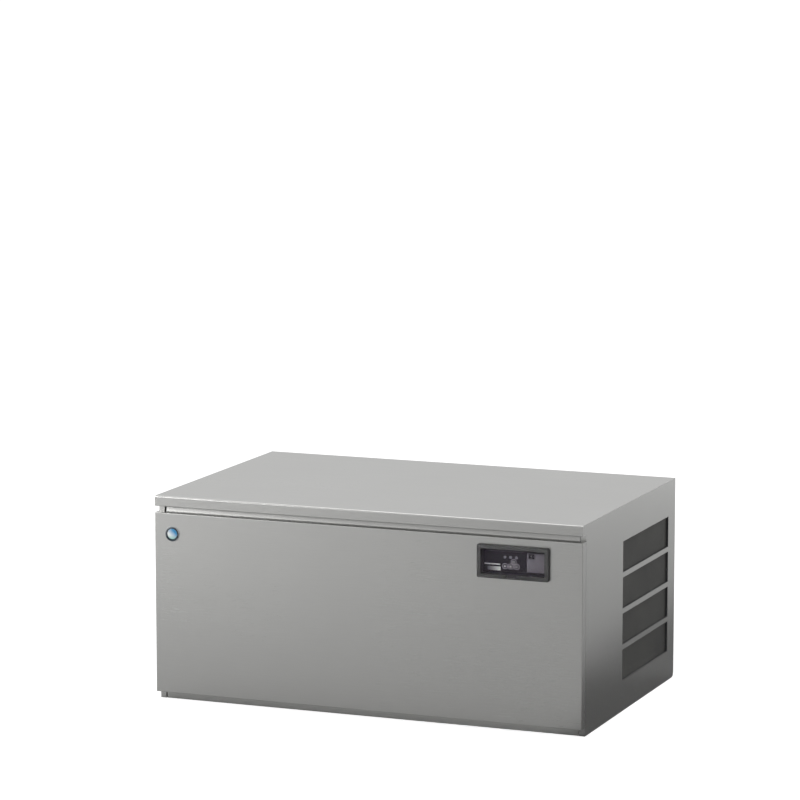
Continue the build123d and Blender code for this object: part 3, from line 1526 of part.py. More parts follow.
def compressor_shell():
    r = compressor_radius
    top = compressor_height
    shoulder = top - compressor_dome
    seam = (compressor_seam_z, compressor_seam_z + compressor_seam_height)
    low_corner = r - compressor_base_radius
    top_radius = r - compressor_dome
    with BuildSketch(Plane.XZ) as profile:
        with BuildLine():
            Line((0, 0), (compressor_base_radius, 0))
            TangentArc((compressor_base_radius, 0), (r, low_corner), tangent=(1, 0))
            Polyline((r, low_corner), (r, seam[0]), (r + compressor_seam_proud, seam[0]),
                     (r + compressor_seam_proud, seam[1]), (r, seam[1]), (r, shoulder - compressor_dome))
            TangentArc((r, shoulder - compressor_dome), (top_radius, shoulder), tangent=(0, 1))
            ThreePointArc((top_radius, shoulder), cap_point(top_radius, shoulder, top), (0, top))
            Line((0, top), (0, 0))
        make_face()
    return Pos(compressor_x, compressor_y, compressor_bottom_z) * revolve(profile.sketch, Axis.Z)


def compressor_foot():
    z = (compressor_bottom_z - compressor_foot_sheet, compressor_bottom_z)
    foot = block(around(compressor_x, compressor_foot_size), around(compressor_y, compressor_foot_size), z)
    foot = fillet(foot.edges().filter_by(Axis.Z), compressor_foot_corner)
    for place in grommet_places():
        foot -= bar("z", z[0] - 1, z[1] + 1, place, grommet_neck + touch)
    return foot


def grommet_places():
    half = grommet_pitch / 2
    return [(compressor_x + dx, compressor_y + dy) for dx in (-half, half) for dy in (-half, half)]


def compressor_grommets():
    foot_low = compressor_bottom_z - compressor_foot_sheet
    top = compressor_bottom_z + grommet_rise
    points = [(0, base_sheet), (grommet_radius, base_sheet), (grommet_radius, foot_low),
              (grommet_neck, foot_low), (grommet_neck, compressor_bottom_z),
              (grommet_radius - 2, compressor_bottom_z), (grommet_neck, top), (0, top)]
    return group(turned(points, (x, y, 0), Rot(0, 0, 0)) for x, y in grommet_places())


def terminal_cover():
    low_z = compressor_bottom_z + terminal_cover_height
    z = (low_z, low_z + terminal_cover_size)
    shell_x = compressor_x - compressor_radius
    cover = block((shell_x - terminal_cover_proud, shell_x + terminal_cover_proud / 2),
                  around(compressor_y, terminal_cover_width), z)
    cover = fillet(cover.edges().filter_by(Axis.X).sort_by(Axis.X)[:4], housing_corner * 2)
    return cover - bar("z", z[0] - 1, z[1] + 1, (compressor_x, compressor_y), compressor_radius - 1)


def filter_drier():
    """Spun copper can with a neck at each end."""
    neck = pipe_radius + 1
    cone = drier_neck + drier_cone
    points = [(0, 0), (neck, 0), (neck, drier_neck), (drier_radius, cone), (drier_radius, drier_length - cone),
              (neck, drier_length - drier_neck), (neck, drier_length), (0, drier_length)]
    return turned(points, (drier_x, drier_y, drier_bottom_z), Rot(0, 0, 0))


def discharge_line():
    """From the compressor's side up and across to the condenser's top tube."""
    top_z = row_z[-1]
    y = compressor_y
    return pipe([(compressor_x + compressor_radius, y, discharge_z), (riser_x, y, discharge_z),
                 (riser_x, y, top_z), (tube_x, y, top_z), (tube_x, condenser_front_y - end_plate, top_z)])


def liquid_line():
    """From the condenser's lowest tube to the drier, and on to the expansion valve."""
    low_z = row_z[0]
    y = drier_y
    lower = pipe([(tube_x, condenser_front_y - end_plate, low_z), (tube_x, y, low_z),
                  (drier_x, y, low_z), (drier_x, y, drier_bottom_z)])
    upper = pipe([(drier_x, y, drier_bottom_z + drier_length), (drier_x, y, tube_z),
                  (drier_x, tube_first_y, tube_z), (valve_x + valve_size / 2, tube_first_y, tube_z)])
    return [lower, upper]


def suction_line():
    """From the evaporator's outlet through the partition and down to the compressor."""
    x = partition_right_x + suction_x_gap
    y = compressor_y + 2 * compressor_radius
    return pipe([(tube_stub_x, tube_last_y, tube_z), (x, tube_last_y, tube_z), (x, tube_last_y, suction_z),
                 (x, y, suction_z), (compressor_x, y, suction_z),
                 (compressor_x, compressor_y + compressor_radius, suction_z)])


def expansion_valve():
    """Thermostatic valve with its diaphragm head, and the tail that enters the evaporator's tube."""
    half = valve_size / 2
    head_z = tube_z + half + pipe_socket_wall
    valve = block(around(valve_x, valve_size), around(tube_first_y, valve_size - valve_narrowing), (tube_z - half, head_z))
    head = [(0, 0), (valve_head_radius / 2, 0), (valve_head_radius, valve_head_lip),
            (valve_head_radius, valve_head_waist), (valve_head_cap, valve_head_height), (0, valve_head_height)]
    valve += turned(head, (valve_x, tube_first_y, head_z), Rot(0, 0, 0))
    return valve + bar("x", tube_stub_x, valve_x - half, (tube_first_y, tube_z), refrigerant_tube_radius)


def hot_gas_valve():
    """Solenoid valve in the hot gas line, with its coil on top."""
    y = compressor_y
    valve = bar("x", *around(hot_gas_x, valve_body_length), (y, hot_gas_z), 2 * pipe_radius)
    coil_z = (hot_gas_z + valve_stem, hot_gas_z + valve_stem + coil_height)
    valve += bar("z", hot_gas_z, coil_z[1] - 1, (hot_gas_x, y), pipe_radius + pipe_socket_wall)
    coil = block(around(hot_gas_x, coil_size), around(y, coil_size - valve_narrowing), coil_z)
    return valve + fillet(coil.edges().filter_by(Axis.Z), coil_inset)


def hot_gas_line():
    """From the riser through the hot gas valve to the tail before the evaporator."""
    y = compressor_y
    first = bar("x", hot_gas_x + valve_body_length / 2, riser_x - pipe_radius, (y, hot_gas_z), pipe_radius)
    tee_x = partition_right_x + hot_gas_tail_gap
    high_z = tube_z + hot_gas_rise
    second = pipe([(hot_gas_x - valve_body_length / 2, y, hot_gas_z), (tee_x, y, hot_gas_z), (tee_x, y, high_z),
                   (tee_x, tube_first_y, high_z), (tee_x, tube_first_y, tube_z + refrigerant_tube_radius)])
    return [first, second]


# Build and write every node
nodes = {
    "base_pan": base_pan(),
    "left_side_panel": mirror(side_panel(), about=Plane.YZ),
    "right_side_panel": right_side_panel(),
    "top_panel": top_panel(),
    "front_top_rail": front_top_rail(),
    "rear_panel": rear_panel(),
    "rear_screws": rear_screws(),
    "front_panel": front_panel(),
    "badge_rim": badge_rim(),
    "badge_dome": badge_dome(),
    "control_bezel": control_bezel(),
    "window_flap": window_flap(),
    "control_housing": control_housing(),
    "control_board": control_board(),
    "display_lenses": display_lenses(),
    "switch_plate": switch_plate(),
    "power_rocker": power_rocker(),
    "control_box": control_box(),
    "air_filter_frame": air_filter_frame(),
    "air_filter_mesh": air_filter_mesh(),
    "ice_liner": ice_liner(),
    "foam_insulation": foam_insulation(),
    "compartment_partition": compartment_partition(),
    "inner_front_cover": inner_front_cover(),
    "evaporator": evaporator(),
    "evaporator_tube": evaporator_tube(),
    "ceiling_brackets": ceiling_brackets(),
    "water_plate": water_plate(),
    "water_tank": water_tank(),
    "water_pump": water_pump(),
    "pump_hose": pump_hose(),
    "hinge_brackets": hinge_brackets(),
    "cam_shaft": cam_shaft(),
    "crank_arms": group([crank_arm(left_crank_x, 1), crank_arm(right_crank_x, -1)]),
    "actuator_motor": actuator_motor(),
    "tilt_springs": group([tilt_spring(plate_left_x - spring_plane_offset),
                           tilt_spring(plate_right_x + spring_plane_offset)]),
    "cube_guide": cube_guide(),
    "drain_pan": drain_pan(),
    "bin_switch_lever": bin_switch_lever(),
    "bin_switch_housing": bin_switch_housing(),
    "drain_fitting": drain_fitting(),
    "inlet_valve": inlet_valve(),
    "supply_pipe": supply_pipe(),
    "cable_gland": cable_gland(),
    "condenser": condenser(),
    "fan_shroud": fan_shroud(),
    "fan": fan(),
    "fan_motor": fan_motor(),
    "motor_bracket": motor_bracket(),
    "compressor": compressor(),
    "compressor_grommets": compressor_grommets(),
    "filter_drier": filter_drier(),
    "copper_lines": group([discharge_line()] + liquid_line() + [suction_line()] + hot_gas_line()),
    "expansion_valve": expansion_valve(),
    "hot_gas_valve": hot_gas_valve(),
}
for index, place in enumerate(key_places):
    nodes[f"key_{index + 1}"] = key(place)

for name, part in nodes.items():
    save(part, name)
print(len(nodes), "nodes")
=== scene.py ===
# Ice cube machine: looks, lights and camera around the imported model
# Metres, +Z up, the front faces -Y, +X is the machine's right
import json
import math

import bmesh
import bpy
from mathutils import Matrix, Vector


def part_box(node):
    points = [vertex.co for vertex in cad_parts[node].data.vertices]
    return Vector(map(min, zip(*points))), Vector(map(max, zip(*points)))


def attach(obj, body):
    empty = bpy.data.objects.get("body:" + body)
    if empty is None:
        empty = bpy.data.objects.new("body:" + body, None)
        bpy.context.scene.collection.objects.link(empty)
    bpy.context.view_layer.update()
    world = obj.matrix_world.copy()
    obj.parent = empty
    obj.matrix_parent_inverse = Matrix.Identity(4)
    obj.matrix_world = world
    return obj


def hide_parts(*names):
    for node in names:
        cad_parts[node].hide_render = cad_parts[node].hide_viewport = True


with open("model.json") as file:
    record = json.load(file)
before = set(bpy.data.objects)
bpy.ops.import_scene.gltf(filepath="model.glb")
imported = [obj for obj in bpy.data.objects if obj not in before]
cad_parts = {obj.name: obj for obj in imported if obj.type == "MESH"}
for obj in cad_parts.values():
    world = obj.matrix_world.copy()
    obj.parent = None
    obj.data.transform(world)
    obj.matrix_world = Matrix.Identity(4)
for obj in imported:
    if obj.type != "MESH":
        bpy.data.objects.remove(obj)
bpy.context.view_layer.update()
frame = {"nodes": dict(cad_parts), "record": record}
mm = 0.001
print("stage: frame loaded")


# Small helpers
def toLinear(hexColour):
    parts = [int(hexColour[i:i + 2], 16) / 255 for i in (1, 3, 5)]
    return [c / 12.92 if c <= 0.04045 else ((c + 0.055) / 1.055) ** 2.4 for c in parts] + [1.0]


def addNode(tree, kind, inputs=None, **settings):
    node = tree.nodes.new(kind)
    for name, value in settings.items():
        setattr(node, name, value)
    for name, value in (inputs or {}).items():
        if isinstance(value, bpy.types.NodeSocket):
            tree.links.new(value, node.inputs[name])
        else:
            node.inputs[name].default_value = value
    return node


# Camera: the photo's view, about 21.75 degrees round to the right and 8.6 above level
cameraView = {"place": (3.247, -8.261, 2.055), "tiltDown": 8.6, "turn": 21.75, "lens": 166.86, "sensor": 36.0}

cameraData = bpy.data.cameras.new("photoCamera")
cameraData.lens = cameraView["lens"]
cameraData.sensor_width = cameraView["sensor"]
camera = bpy.data.objects.new("photoCamera", cameraData)
camera.location = cameraView["place"]
camera.rotation_euler = (math.radians(90 - cameraView["tiltDown"]), 0, math.radians(cameraView["turn"]))
bpy.context.scene.collection.objects.link(camera)
bpy.context.scene.camera = camera
bpy.context.scene.view_settings.view_transform = "Standard"

# Studio: pale floor, white surroundings that dim towards the front right, soft lamps
studio = {
    "floorSize": 160.0,
    "floorColour": "#d2d2d2",
    "floorCameraLift": 0.80,     # added for camera rays only, so that the unshaded floor is white
    # The strip is a painted shadow: the floor is darkened beside the cabinet's right side, where its shadow falls, and
    # only reflections see it
    "paintedShadowEdges": (0.45, 0.55, 0.74, 0.92),   # X of a dark strip beside the cabinet, seen by reflections only
    "paintedShadowLevel": 0.42,
    "worldLight": 0.45,
    "brightSide": (-0.55, 0.83, 0.0),
    "glossBright": 0.755,         # what metal and glass see of the surroundings on the bright side
    "glossDim": 0.50,            # and opposite it
}
lamps = {
    "keyLamp": {"place": (-2.6, -2.9, 1.5), "target": (-1.2, -2.4, 0.0), "size": 1.6, "watts": 62.0},
    "topLamp": {"place": (-1.0, 0.6, 3.4), "target": (0.0, 0.0, 0.3), "size": 2.2, "watts": 24.0},
    "backFloorLamp": {"place": (2.6, 4.8, 2.0), "target": (1.9, 3.4, 0.0), "size": 1.8, "watts": 70.0},
    "panelLamp": {"place": (0.6, -3.8, 2.0), "target": (0.37, -0.35, 0.42), "size": 0.4, "watts": 0.6,
                  "spread": 10.0, "diffuseOnly": True},
}


def paintWorld():
    world = bpy.data.worlds.new("whiteSurroundings")
    bpy.context.scene.world = world
    world.use_nodes = True
    tree = world.node_tree
    rays = addNode(tree, "ShaderNodeLightPath")
    seen = addNode(tree, "ShaderNodeMath", {0: rays.outputs["Is Glossy Ray"], 1: rays.outputs["Is Transmission Ray"]},
                   operation="MAXIMUM")
    direction = addNode(tree, "ShaderNodeTexCoord").outputs["Generated"]
    side = addNode(tree, "ShaderNodeVectorMath", {0: direction, 1: studio["brightSide"]}, operation="DOT_PRODUCT")
    level = addNode(tree, "ShaderNodeMapRange", {"Value": side.outputs["Value"], "From Min": -0.8, "From Max": 0.3,
                                                 "To Min": studio["glossDim"], "To Max": studio["glossBright"]})
    gloss = addNode(tree, "ShaderNodeMath", {0: seen.outputs[0], 1: level.outputs["Result"]}, operation="MULTIPLY")
    lit = addNode(tree, "ShaderNodeMath", {0: gloss.outputs[0], 1: studio["worldLight"]}, operation="MAXIMUM")
    strength = addNode(tree, "ShaderNodeMath", {0: lit.outputs[0], 1: rays.outputs["Is Camera Ray"]},
                       operation="MAXIMUM")
    background = tree.nodes["Background"]
    background.inputs["Color"].default_value = (1, 1, 1, 1)
    tree.links.new(strength.outputs[0], background.inputs["Strength"])


def layFloor():
    material = bpy.data.materials.new("paleStudioFloor")
    material.use_nodes = True
    tree = material.node_tree
    shader = tree.nodes["Principled BSDF"]
    across = addNode(tree, "ShaderNodeSeparateXYZ",
                     {"Vector": addNode(tree, "ShaderNodeNewGeometry").outputs["Position"]}).outputs["X"]
    # Painted shadow: the floor beside the cabinet's right side is darkened for glossy rays, standing in for the
    # cabinet's shadow
    first, second, third, fourth = studio["paintedShadowEdges"]
    rise = addNode(tree, "ShaderNodeMapRange", {"Value": across, "From Min": first, "From Max": second})
    fall = addNode(tree, "ShaderNodeMapRange", {"Value": across, "From Min": fourth, "From Max": third})
    inPaintedShadow = addNode(tree, "ShaderNodeMath", {0: rise.outputs["Result"], 1: fall.outputs["Result"]},
                     operation="MULTIPLY")
    mirrored = addNode(tree, "ShaderNodeLightPath").outputs["Is Glossy Ray"]
    shaded = addNode(tree, "ShaderNodeMath", {0: inPaintedShadow.outputs[0], 1: mirrored}, operation="MULTIPLY")
    floorColour = toLinear(studio["floorColour"])
    dark = [channel * studio["paintedShadowLevel"] for channel in floorColour[:3]] + [1.0]
    colour = addNode(tree, "ShaderNodeMixRGB", {"Fac": shaded.outputs[0], "Color1": floorColour, "Color2": dark})
    tree.links.new(colour.outputs["Color"], shader.inputs["Base Color"])
    shader.inputs["Roughness"].default_value = 0.9
    shader.inputs["Specular IOR Level"].default_value = 0.0
    shader.inputs["Emission Color"].default_value = (1, 1, 1, 1)
    rays = addNode(tree, "ShaderNodeLightPath")
    lift = addNode(tree, "ShaderNodeMath", {0: rays.outputs["Is Camera Ray"], 1: studio["floorCameraLift"]},
                   operation="MULTIPLY")
    tree.links.new(lift.outputs[0], shader.inputs["Emission Strength"])
    mesh = bpy.data.meshes.new("studioFloor")
    shape = bmesh.new()
    bmesh.ops.create_grid(shape, x_segments=4, y_segments=4, size=studio["floorSize"] / 2)
    shape.to_mesh(mesh)
    shape.free()
    floor = bpy.data.objects.new("studioFloor", mesh)
    floor.location.z = -0.2 * mm
    mesh.materials.append(material)
    bpy.context.scene.collection.objects.link(floor)


def hangLamps():
    for name, lamp in lamps.items():
        data = bpy.data.lights.new(name, "AREA")
        data.size = lamp["size"]
        data.energy = lamp["watts"]
        data.spread = math.radians(lamp.get("spread", 180.0))
        light = bpy.data.objects.new(name, data)
        light.location = lamp["place"]
        aim = Vector(lamp["target"]) - Vector(lamp["place"])
        light.rotation_euler = aim.to_track_quat("-Z", "Y").to_euler()
        light.visible_glossy = not lamp.get("diffuseOnly", False)
        bpy.context.scene.collection.objects.link(light)


paintWorld()
layFloor()
hangLamps()
print("stage: camera, floor and lamps")


# Finishes: one dictionary each, grain sizes in real millimetres along X, Y and Z.
# "shade" is the colour of the pattern's low places, "rough" its two roughness ends.
def makeFinish(name, look):
    material = bpy.data.materials.new(name)
    material.use_nodes = True
    tree = material.node_tree
    shader = tree.nodes["Principled BSDF"]
    shader.inputs["Metallic"].default_value = look.get("metallic", 0.0)
    for socket, value in look.get("sockets", {}).items():
        shader.inputs[socket].default_value = value
    place = addNode(tree, "ShaderNodeTexCoord").outputs["Object"]
    scale = [1 / (size * mm) for size in look["grain"]]
    scaled = addNode(tree, "ShaderNodeMapping", {"Vector": place, "Scale": scale}).outputs["Vector"]
    if look.get("pattern") == "spangle":
        cells = addNode(tree, "ShaderNodeTexVoronoi", {"Vector": scaled, "Scale": 1.0, "Randomness": 1.0})
        height = addNode(tree, "ShaderNodeSeparateColor", {"Color": cells.outputs["Color"]}).outputs["Red"]
    elif look.get("pattern") == "weave":
        waves = [addNode(tree, "ShaderNodeTexWave", {"Vector": scaled, "Scale": 0.314, "Distortion": 0.0},
                         wave_type="BANDS", bands_direction=axis).outputs["Fac"] for axis in ("Y", "Z")]
        height = addNode(tree, "ShaderNodeMath", {0: waves[0], 1: waves[1]}, operation="MAXIMUM").outputs[0]
    else:
        height = addNode(tree, "ShaderNodeTexNoise", {"Vector": scaled, "Scale": 1.0, "Detail": 3.0,
                                                      "Roughness": 0.6}).outputs["Fac"]
    spread = addNode(tree, "ShaderNodeMapRange", {"Value": height, "From Min": 0.3, "From Max": 0.7}).outputs["Result"]
    patch = addNode(tree, "ShaderNodeTexNoise", {"Vector": place, "Scale": 1 / (look.get("patch", 180) * mm),
                                                 "Detail": 2.0}).outputs["Fac"]
    blend = addNode(tree, "ShaderNodeMath", {0: spread, 1: patch}, operation="MULTIPLY").outputs[0]
    colour = addNode(tree, "ShaderNodeMixRGB", {"Fac": blend, "Color1": toLinear(look["shade"]),
                                                "Color2": toLinear(look["colour"])})
    roughness = addNode(tree, "ShaderNodeMapRange", {"Value": blend, "To Min": look["rough"][1],
                                                     "To Max": look["rough"][0]})
    bump = addNode(tree, "ShaderNodeBump", {"Height": height, "Distance": look["bump"] * mm,
                                            "Strength": look.get("bumpStrength", 0.5)})
    tree.links.new(colour.outputs["Color"], shader.inputs["Base Color"])
    tree.links.new(roughness.outputs["Result"], shader.inputs["Roughness"])
    tree.links.new(bump.outputs["Normal"], shader.inputs["Normal"])
    return material


finishes = {
    # Ferritic stainless sheet, brushed with a fine belt along X: long soft hairlines, satin reflections.
    # The real lines are 0.1 mm apart; they are drawn 0.9 mm apart so that they show.
    "stainless_sheet": {"colour": "#c6c6c4", "shade": "#bebebc", "metallic": 1.0, "grain": (90, 0.9, 0.9),
                        "rough": (0.24, 0.31), "bump": 0.02, "patch": 320},
    # Plain stainless rod and bracket sheet, mill finish: a little duller, no direction
    "stainless_inner": {"colour": "#c9c9c7", "shade": "#b9b9b7", "metallic": 1.0, "grain": (6, 6, 6),
                        "rough": (0.32, 0.45), "bump": 0.01},
    # Hot dip galvanised sheet: pale blue-grey flakes of zinc, each with its own brightness
    "galvanised_sheet": {"colour": "#c3c7c9", "shade": "#b0b5b8", "metallic": 1.0, "grain": (8, 8, 8),
                         "rough": (0.38, 0.48), "bump": 0.01, "pattern": "spangle"},
    # Zinc plated screws: bright, slightly blue
    "zinc_screws": {"colour": "#d3d6d8", "shade": "#b4b8bb", "metallic": 1.0, "grain": (1, 1, 1),
                    "rough": (0.22, 0.34), "bump": 0.01},
    # ABS bezel, moulded with a fine spark eroded grain: dark grey satin
    "bezel_abs": {"colour": "#3b3b3b", "shade": "#2f2f2f", "grain": (0.7, 0.7, 0.7), "rough": (0.42, 0.55),
                  "bump": 0.04},
    # Black ABS housing with a printed matt fascia
    "housing_black": {"colour": "#17161a", "shade": "#111014", "grain": (0.8, 0.8, 0.8), "rough": (0.5, 0.65),
                      "bump": 0.03, "sockets": {"Specular IOR Level": 0.3}},
    # Smoked polycarbonate flap: clear moulding tinted purple-grey, polished both sides
    "flap_smoked": {"colour": "#332b38", "shade": "#2d2632", "grain": (40, 40, 40), "rough": (0.08, 0.12),
                    "bump": 0.002, "sockets": {"Alpha": 0.14, "IOR": 1.58}},
    # Silicone keys: dark, soft and dull
    "key_rubber": {"colour": "#3a3940", "shade": "#2e2d34", "grain": (0.5, 0.5, 0.5), "rough": (0.55, 0.7),
                   "bump": 0.02},
    # Solder masked board
    "circuit_board": {"colour": "#1f5a38", "shade": "#17442a", "grain": (3, 3, 3), "rough": (0.3, 0.45),
                      "bump": 0.02},
    # Stove enamelled steel plate beside the fascia: smooth warm grey
    "switch_steel": {"colour": "#737077", "shade": "#6a676e", "grain": (1.2, 1.2, 1.2), "rough": (0.4, 0.5),
                     "bump": 0.01},
    # Polished black polyamide rocker
    "rocker_black": {"colour": "#17171a", "shade": "#121214", "grain": (2, 2, 2), "rough": (0.22, 0.3),
                     "bump": 0.004},
    # Chromed badge rim: mirror plating over plastic
    "badge_chrome": {"colour": "#dfe3e6", "shade": "#d4d8dc", "metallic": 1.0, "grain": (5, 5, 5),
                     "rough": (0.06, 0.10), "bump": 0.002},
    # Coarse open filter moulding: dark grey ABS
    "filter_frame": {"colour": "#47474a", "shade": "#39393c", "grain": (0.8, 0.8, 0.8), "rough": (0.5, 0.62),
                     "bump": 0.04},
    # Woven polyamide filter net, 1.2 mm thread spacing: reads as one dull dark grey from a step away
    "filter_mesh": {"colour": "#54544f", "shade": "#2c2c2c", "grain": (1.2, 1.2, 1.2), "rough": (0.6, 0.75),
                    "bump": 0.3, "pattern": "weave"},
    # Vacuum formed white liner: glossy with a slight orange peel
    "liner_abs": {"colour": "#eceeec", "shade": "#e0e2e0", "grain": (9, 9, 9), "rough": (0.22, 0.3), "bump": 0.05},
    # Rigid polyurethane foam: pale yellow, fine open cells
    "foam": {"colour": "#e9dfb6", "shade": "#cfc08f", "grain": (1.5, 1.5, 1.5), "rough": (0.85, 0.95), "bump": 0.4},
    # Pale grey thermoformed cover
    "cover_plastic": {"colour": "#cdd0d2", "shade": "#bfc2c4", "grain": (2, 2, 2), "rough": (0.4, 0.5), "bump": 0.03},
    # Drawn copper tube: warm, with brown tarnish in patches
    "copper": {"colour": "#d98a62", "shade": "#9a5a3c", "metallic": 1.0, "grain": (12, 12, 12),
               "rough": (0.24, 0.42), "bump": 0.01, "patch": 60},
    # Tinned copper evaporator: dull silver with a warm tint
    "evaporator_tin": {"colour": "#d4c8b8", "shade": "#b3a18c", "metallic": 1.0, "grain": (10, 10, 10),
                       "rough": (0.34, 0.5), "bump": 0.02},
    # Food grade polypropylene: milky white, faint mould sheen
    "water_plastic": {"colour": "#e4e8ea", "shade": "#d5dadd", "grain": (3, 3, 3), "rough": (0.35, 0.48),
                      "bump": 0.03, "sockets": {"Subsurface Weight": 0.1, "Subsurface Radius": (0.02, 0.02, 0.02)}},
    # Glass filled polyamide pump: dark, slightly fibrous
    "pump_plastic": {"colour": "#35363a", "shade": "#26272a", "grain": (4, 4, 0.8), "rough": (0.45, 0.6),
                     "bump": 0.03},
    # Silicone hose: translucent, slightly tacky
    "hose_silicone": {"colour": "#dfe1e0", "shade": "#cfd2d1", "grain": (6, 6, 6), "rough": (0.3, 0.42),
                      "bump": 0.01, "sockets": {"Subsurface Weight": 0.3, "Subsurface Radius": (0.01, 0.01, 0.01)}},
    # Painted die cast motor cases: grey powder coat
    "motor_case": {"colour": "#6c6f73", "shade": "#595c60", "grain": (1.0, 1.0, 1.0), "rough": (0.45, 0.6),
                   "bump": 0.05},
    # Hard drawn stainless spring wire
    "spring_steel": {"colour": "#c8c8c6", "shade": "#a8a8a6", "metallic": 1.0, "grain": (1, 1, 8),
                     "rough": (0.22, 0.34), "bump": 0.004},
    # Blue acetal lever: slightly waxy
    "lever_plastic": {"colour": "#2f66a8", "shade": "#27568f", "grain": (3, 3, 3), "rough": (0.35, 0.45),
                      "bump": 0.02},
    # Turned brass fittings: yellow, fine tool marks, some dulling
    "fitting_brass": {"colour": "#c9ab62", "shade": "#a0853f", "metallic": 1.0, "grain": (8, 0.6, 8),
                      "rough": (0.26, 0.42), "bump": 0.02, "patch": 20},
    # Black polyamide gland: moulded, semi-matt
    "gland_nylon": {"colour": "#222224", "shade": "#19191b", "grain": (0.8, 0.8, 0.8), "rough": (0.42, 0.55),
                    "bump": 0.03},
    # Rolled aluminium fins: bright edges, slightly wavy
    "fin_aluminium": {"colour": "#cfd1d3", "shade": "#b7b9bb", "metallic": 1.0, "grain": (8, 8, 40),
                      "rough": (0.3, 0.45), "bump": 0.03},
    # Glass filled polyamide fan: dark, satin
    "fan_plastic": {"colour": "#303033", "shade": "#232326", "grain": (2, 2, 2), "rough": (0.42, 0.55),
                    "bump": 0.03},
    # Baked black enamel over the compressor's shell: glossy with slight runs
    "compressor_enamel": {"colour": "#1b1b1c", "shade": "#131314", "grain": (14, 14, 30), "rough": (0.2, 0.32),
                          "bump": 0.05, "sockets": {"Coat Weight": 0.3, "Coat Roughness": 0.12}},
    # Moulded black rubber
    "grommet_rubber": {"colour": "#1f1f1f", "shade": "#161616", "grain": (1, 1, 1), "rough": (0.65, 0.8),
                       "bump": 0.03},
}
materials = {slot: makeFinish(slot.title().replace("_", ""), look) for slot, look in finishes.items()}


# Side panels carry the same sheet, brushed front to back
def turnedGrain(slot, grain, rough):
    look = dict(finishes[slot], grain=grain, rough=rough)
    return makeFinish(slot.title().replace("_", "") + "Sides", look)


# Display window: an unlit liquid crystal panel, grey and brighter to the right, behind a clear lens
def makeDisplayFinish():
    low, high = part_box("display_lenses")
    look = {"dark": "#4a4850", "pale": "#dfe2e2", "pipes": "#84848e", "rowTop": 0.3955}
    material = bpy.data.materials.new("DisplayClear")
    material.use_nodes = True
    tree = material.node_tree
    shader = tree.nodes["Principled BSDF"]
    place = addNode(tree, "ShaderNodeTexCoord").outputs["Object"]
    axes = addNode(tree, "ShaderNodeSeparateXYZ", {"Vector": place})
    across = addNode(tree, "ShaderNodeMapRange", {"Value": axes.outputs["X"], "From Min": low[0],
                                                  "From Max": low[0] + 34 * mm}).outputs["Result"]
    panel = addNode(tree, "ShaderNodeMixRGB", {"Fac": across, "Color1": toLinear(look["dark"]),
                                               "Color2": toLinear(look["pale"])})
    isPipe = addNode(tree, "ShaderNodeMath", {0: axes.outputs["Z"], 1: look["rowTop"]}, operation="GREATER_THAN")
    colour = addNode(tree, "ShaderNodeMixRGB", {"Fac": isPipe.outputs[0], "Color1": panel.outputs["Color"],
                                                "Color2": toLinear(look["pipes"])})
    tree.links.new(colour.outputs["Color"], shader.inputs["Base Color"])
    shader.inputs["Roughness"].default_value = 0.16
    shader.inputs["Coat Weight"].default_value = 0.5
    return material


# Badge: clear resin domed over a plain pale field, sky blue above and white below, with a dark edge line that is
# painted shade of the gap between dome and rim
def makeBadgeFinish():
    low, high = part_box("badge_dome")
    look = {"sky": "#3d97cf", "white": "#f4fbfb", "cyan": "#86cfc8", "edge": "#2a3641",
            "fieldRadius": 12.6}
    material = bpy.data.materials.new("BadgeResin")
    material.use_nodes = True
    tree = material.node_tree
    shader = tree.nodes["Principled BSDF"]
    place = addNode(tree, "ShaderNodeTexCoord").outputs["Object"]
    axes = addNode(tree, "ShaderNodeSeparateXYZ", {"Vector": place})
    slant = addNode(tree, "ShaderNodeMath", {0: axes.outputs["X"], 1: axes.outputs["Z"]}, operation="ADD").outputs[0]
    centreSlant = (low[0] + high[0] + low[2] + high[2]) / 2
    up = addNode(tree, "ShaderNodeMapRange", {"Value": slant, "From Min": centreSlant - 9 * mm,
                                              "From Max": centreSlant + 11 * mm}).outputs["Result"]
    field = addNode(tree, "ShaderNodeMixRGB", {"Fac": up, "Color1": toLinear(look["white"]),
                                               "Color2": toLinear(look["sky"])})
    centre = ((low[0] + high[0]) / 2, low[1], (low[2] + high[2]) / 2)
    down = addNode(tree, "ShaderNodeMapRange", {"Value": axes.outputs["Z"], "From Min": centre[2] - 3 * mm,
                                                "From Max": centre[2] - 14 * mm}).outputs["Result"]
    field = addNode(tree, "ShaderNodeMixRGB", {"Fac": down, "Color1": field.outputs["Color"],
                                               "Color2": toLinear(look["cyan"])})
    # Painted shade: outside the field radius the dome is painted dark, standing in for the shaded gap to the rim
    reach = addNode(tree, "ShaderNodeVectorMath", {0: place, 1: centre}, operation="DISTANCE")
    inPaintedGapShade = addNode(tree, "ShaderNodeMath", {0: reach.outputs["Value"], 1: look["fieldRadius"] * mm},
                     operation="GREATER_THAN")
    colour = addNode(tree, "ShaderNodeMixRGB", {"Fac": inPaintedGapShade.outputs[0], "Color1": field.outputs["Color"],
                                                "Color2": toLinear(look["edge"])})
    tree.links.new(colour.outputs["Color"], shader.inputs["Base Color"])
    shader.inputs["Roughness"].default_value = 0.12
    shader.inputs["Coat Weight"].default_value = 1.0
    shader.inputs["Coat Roughness"].default_value = 0.03
    return material
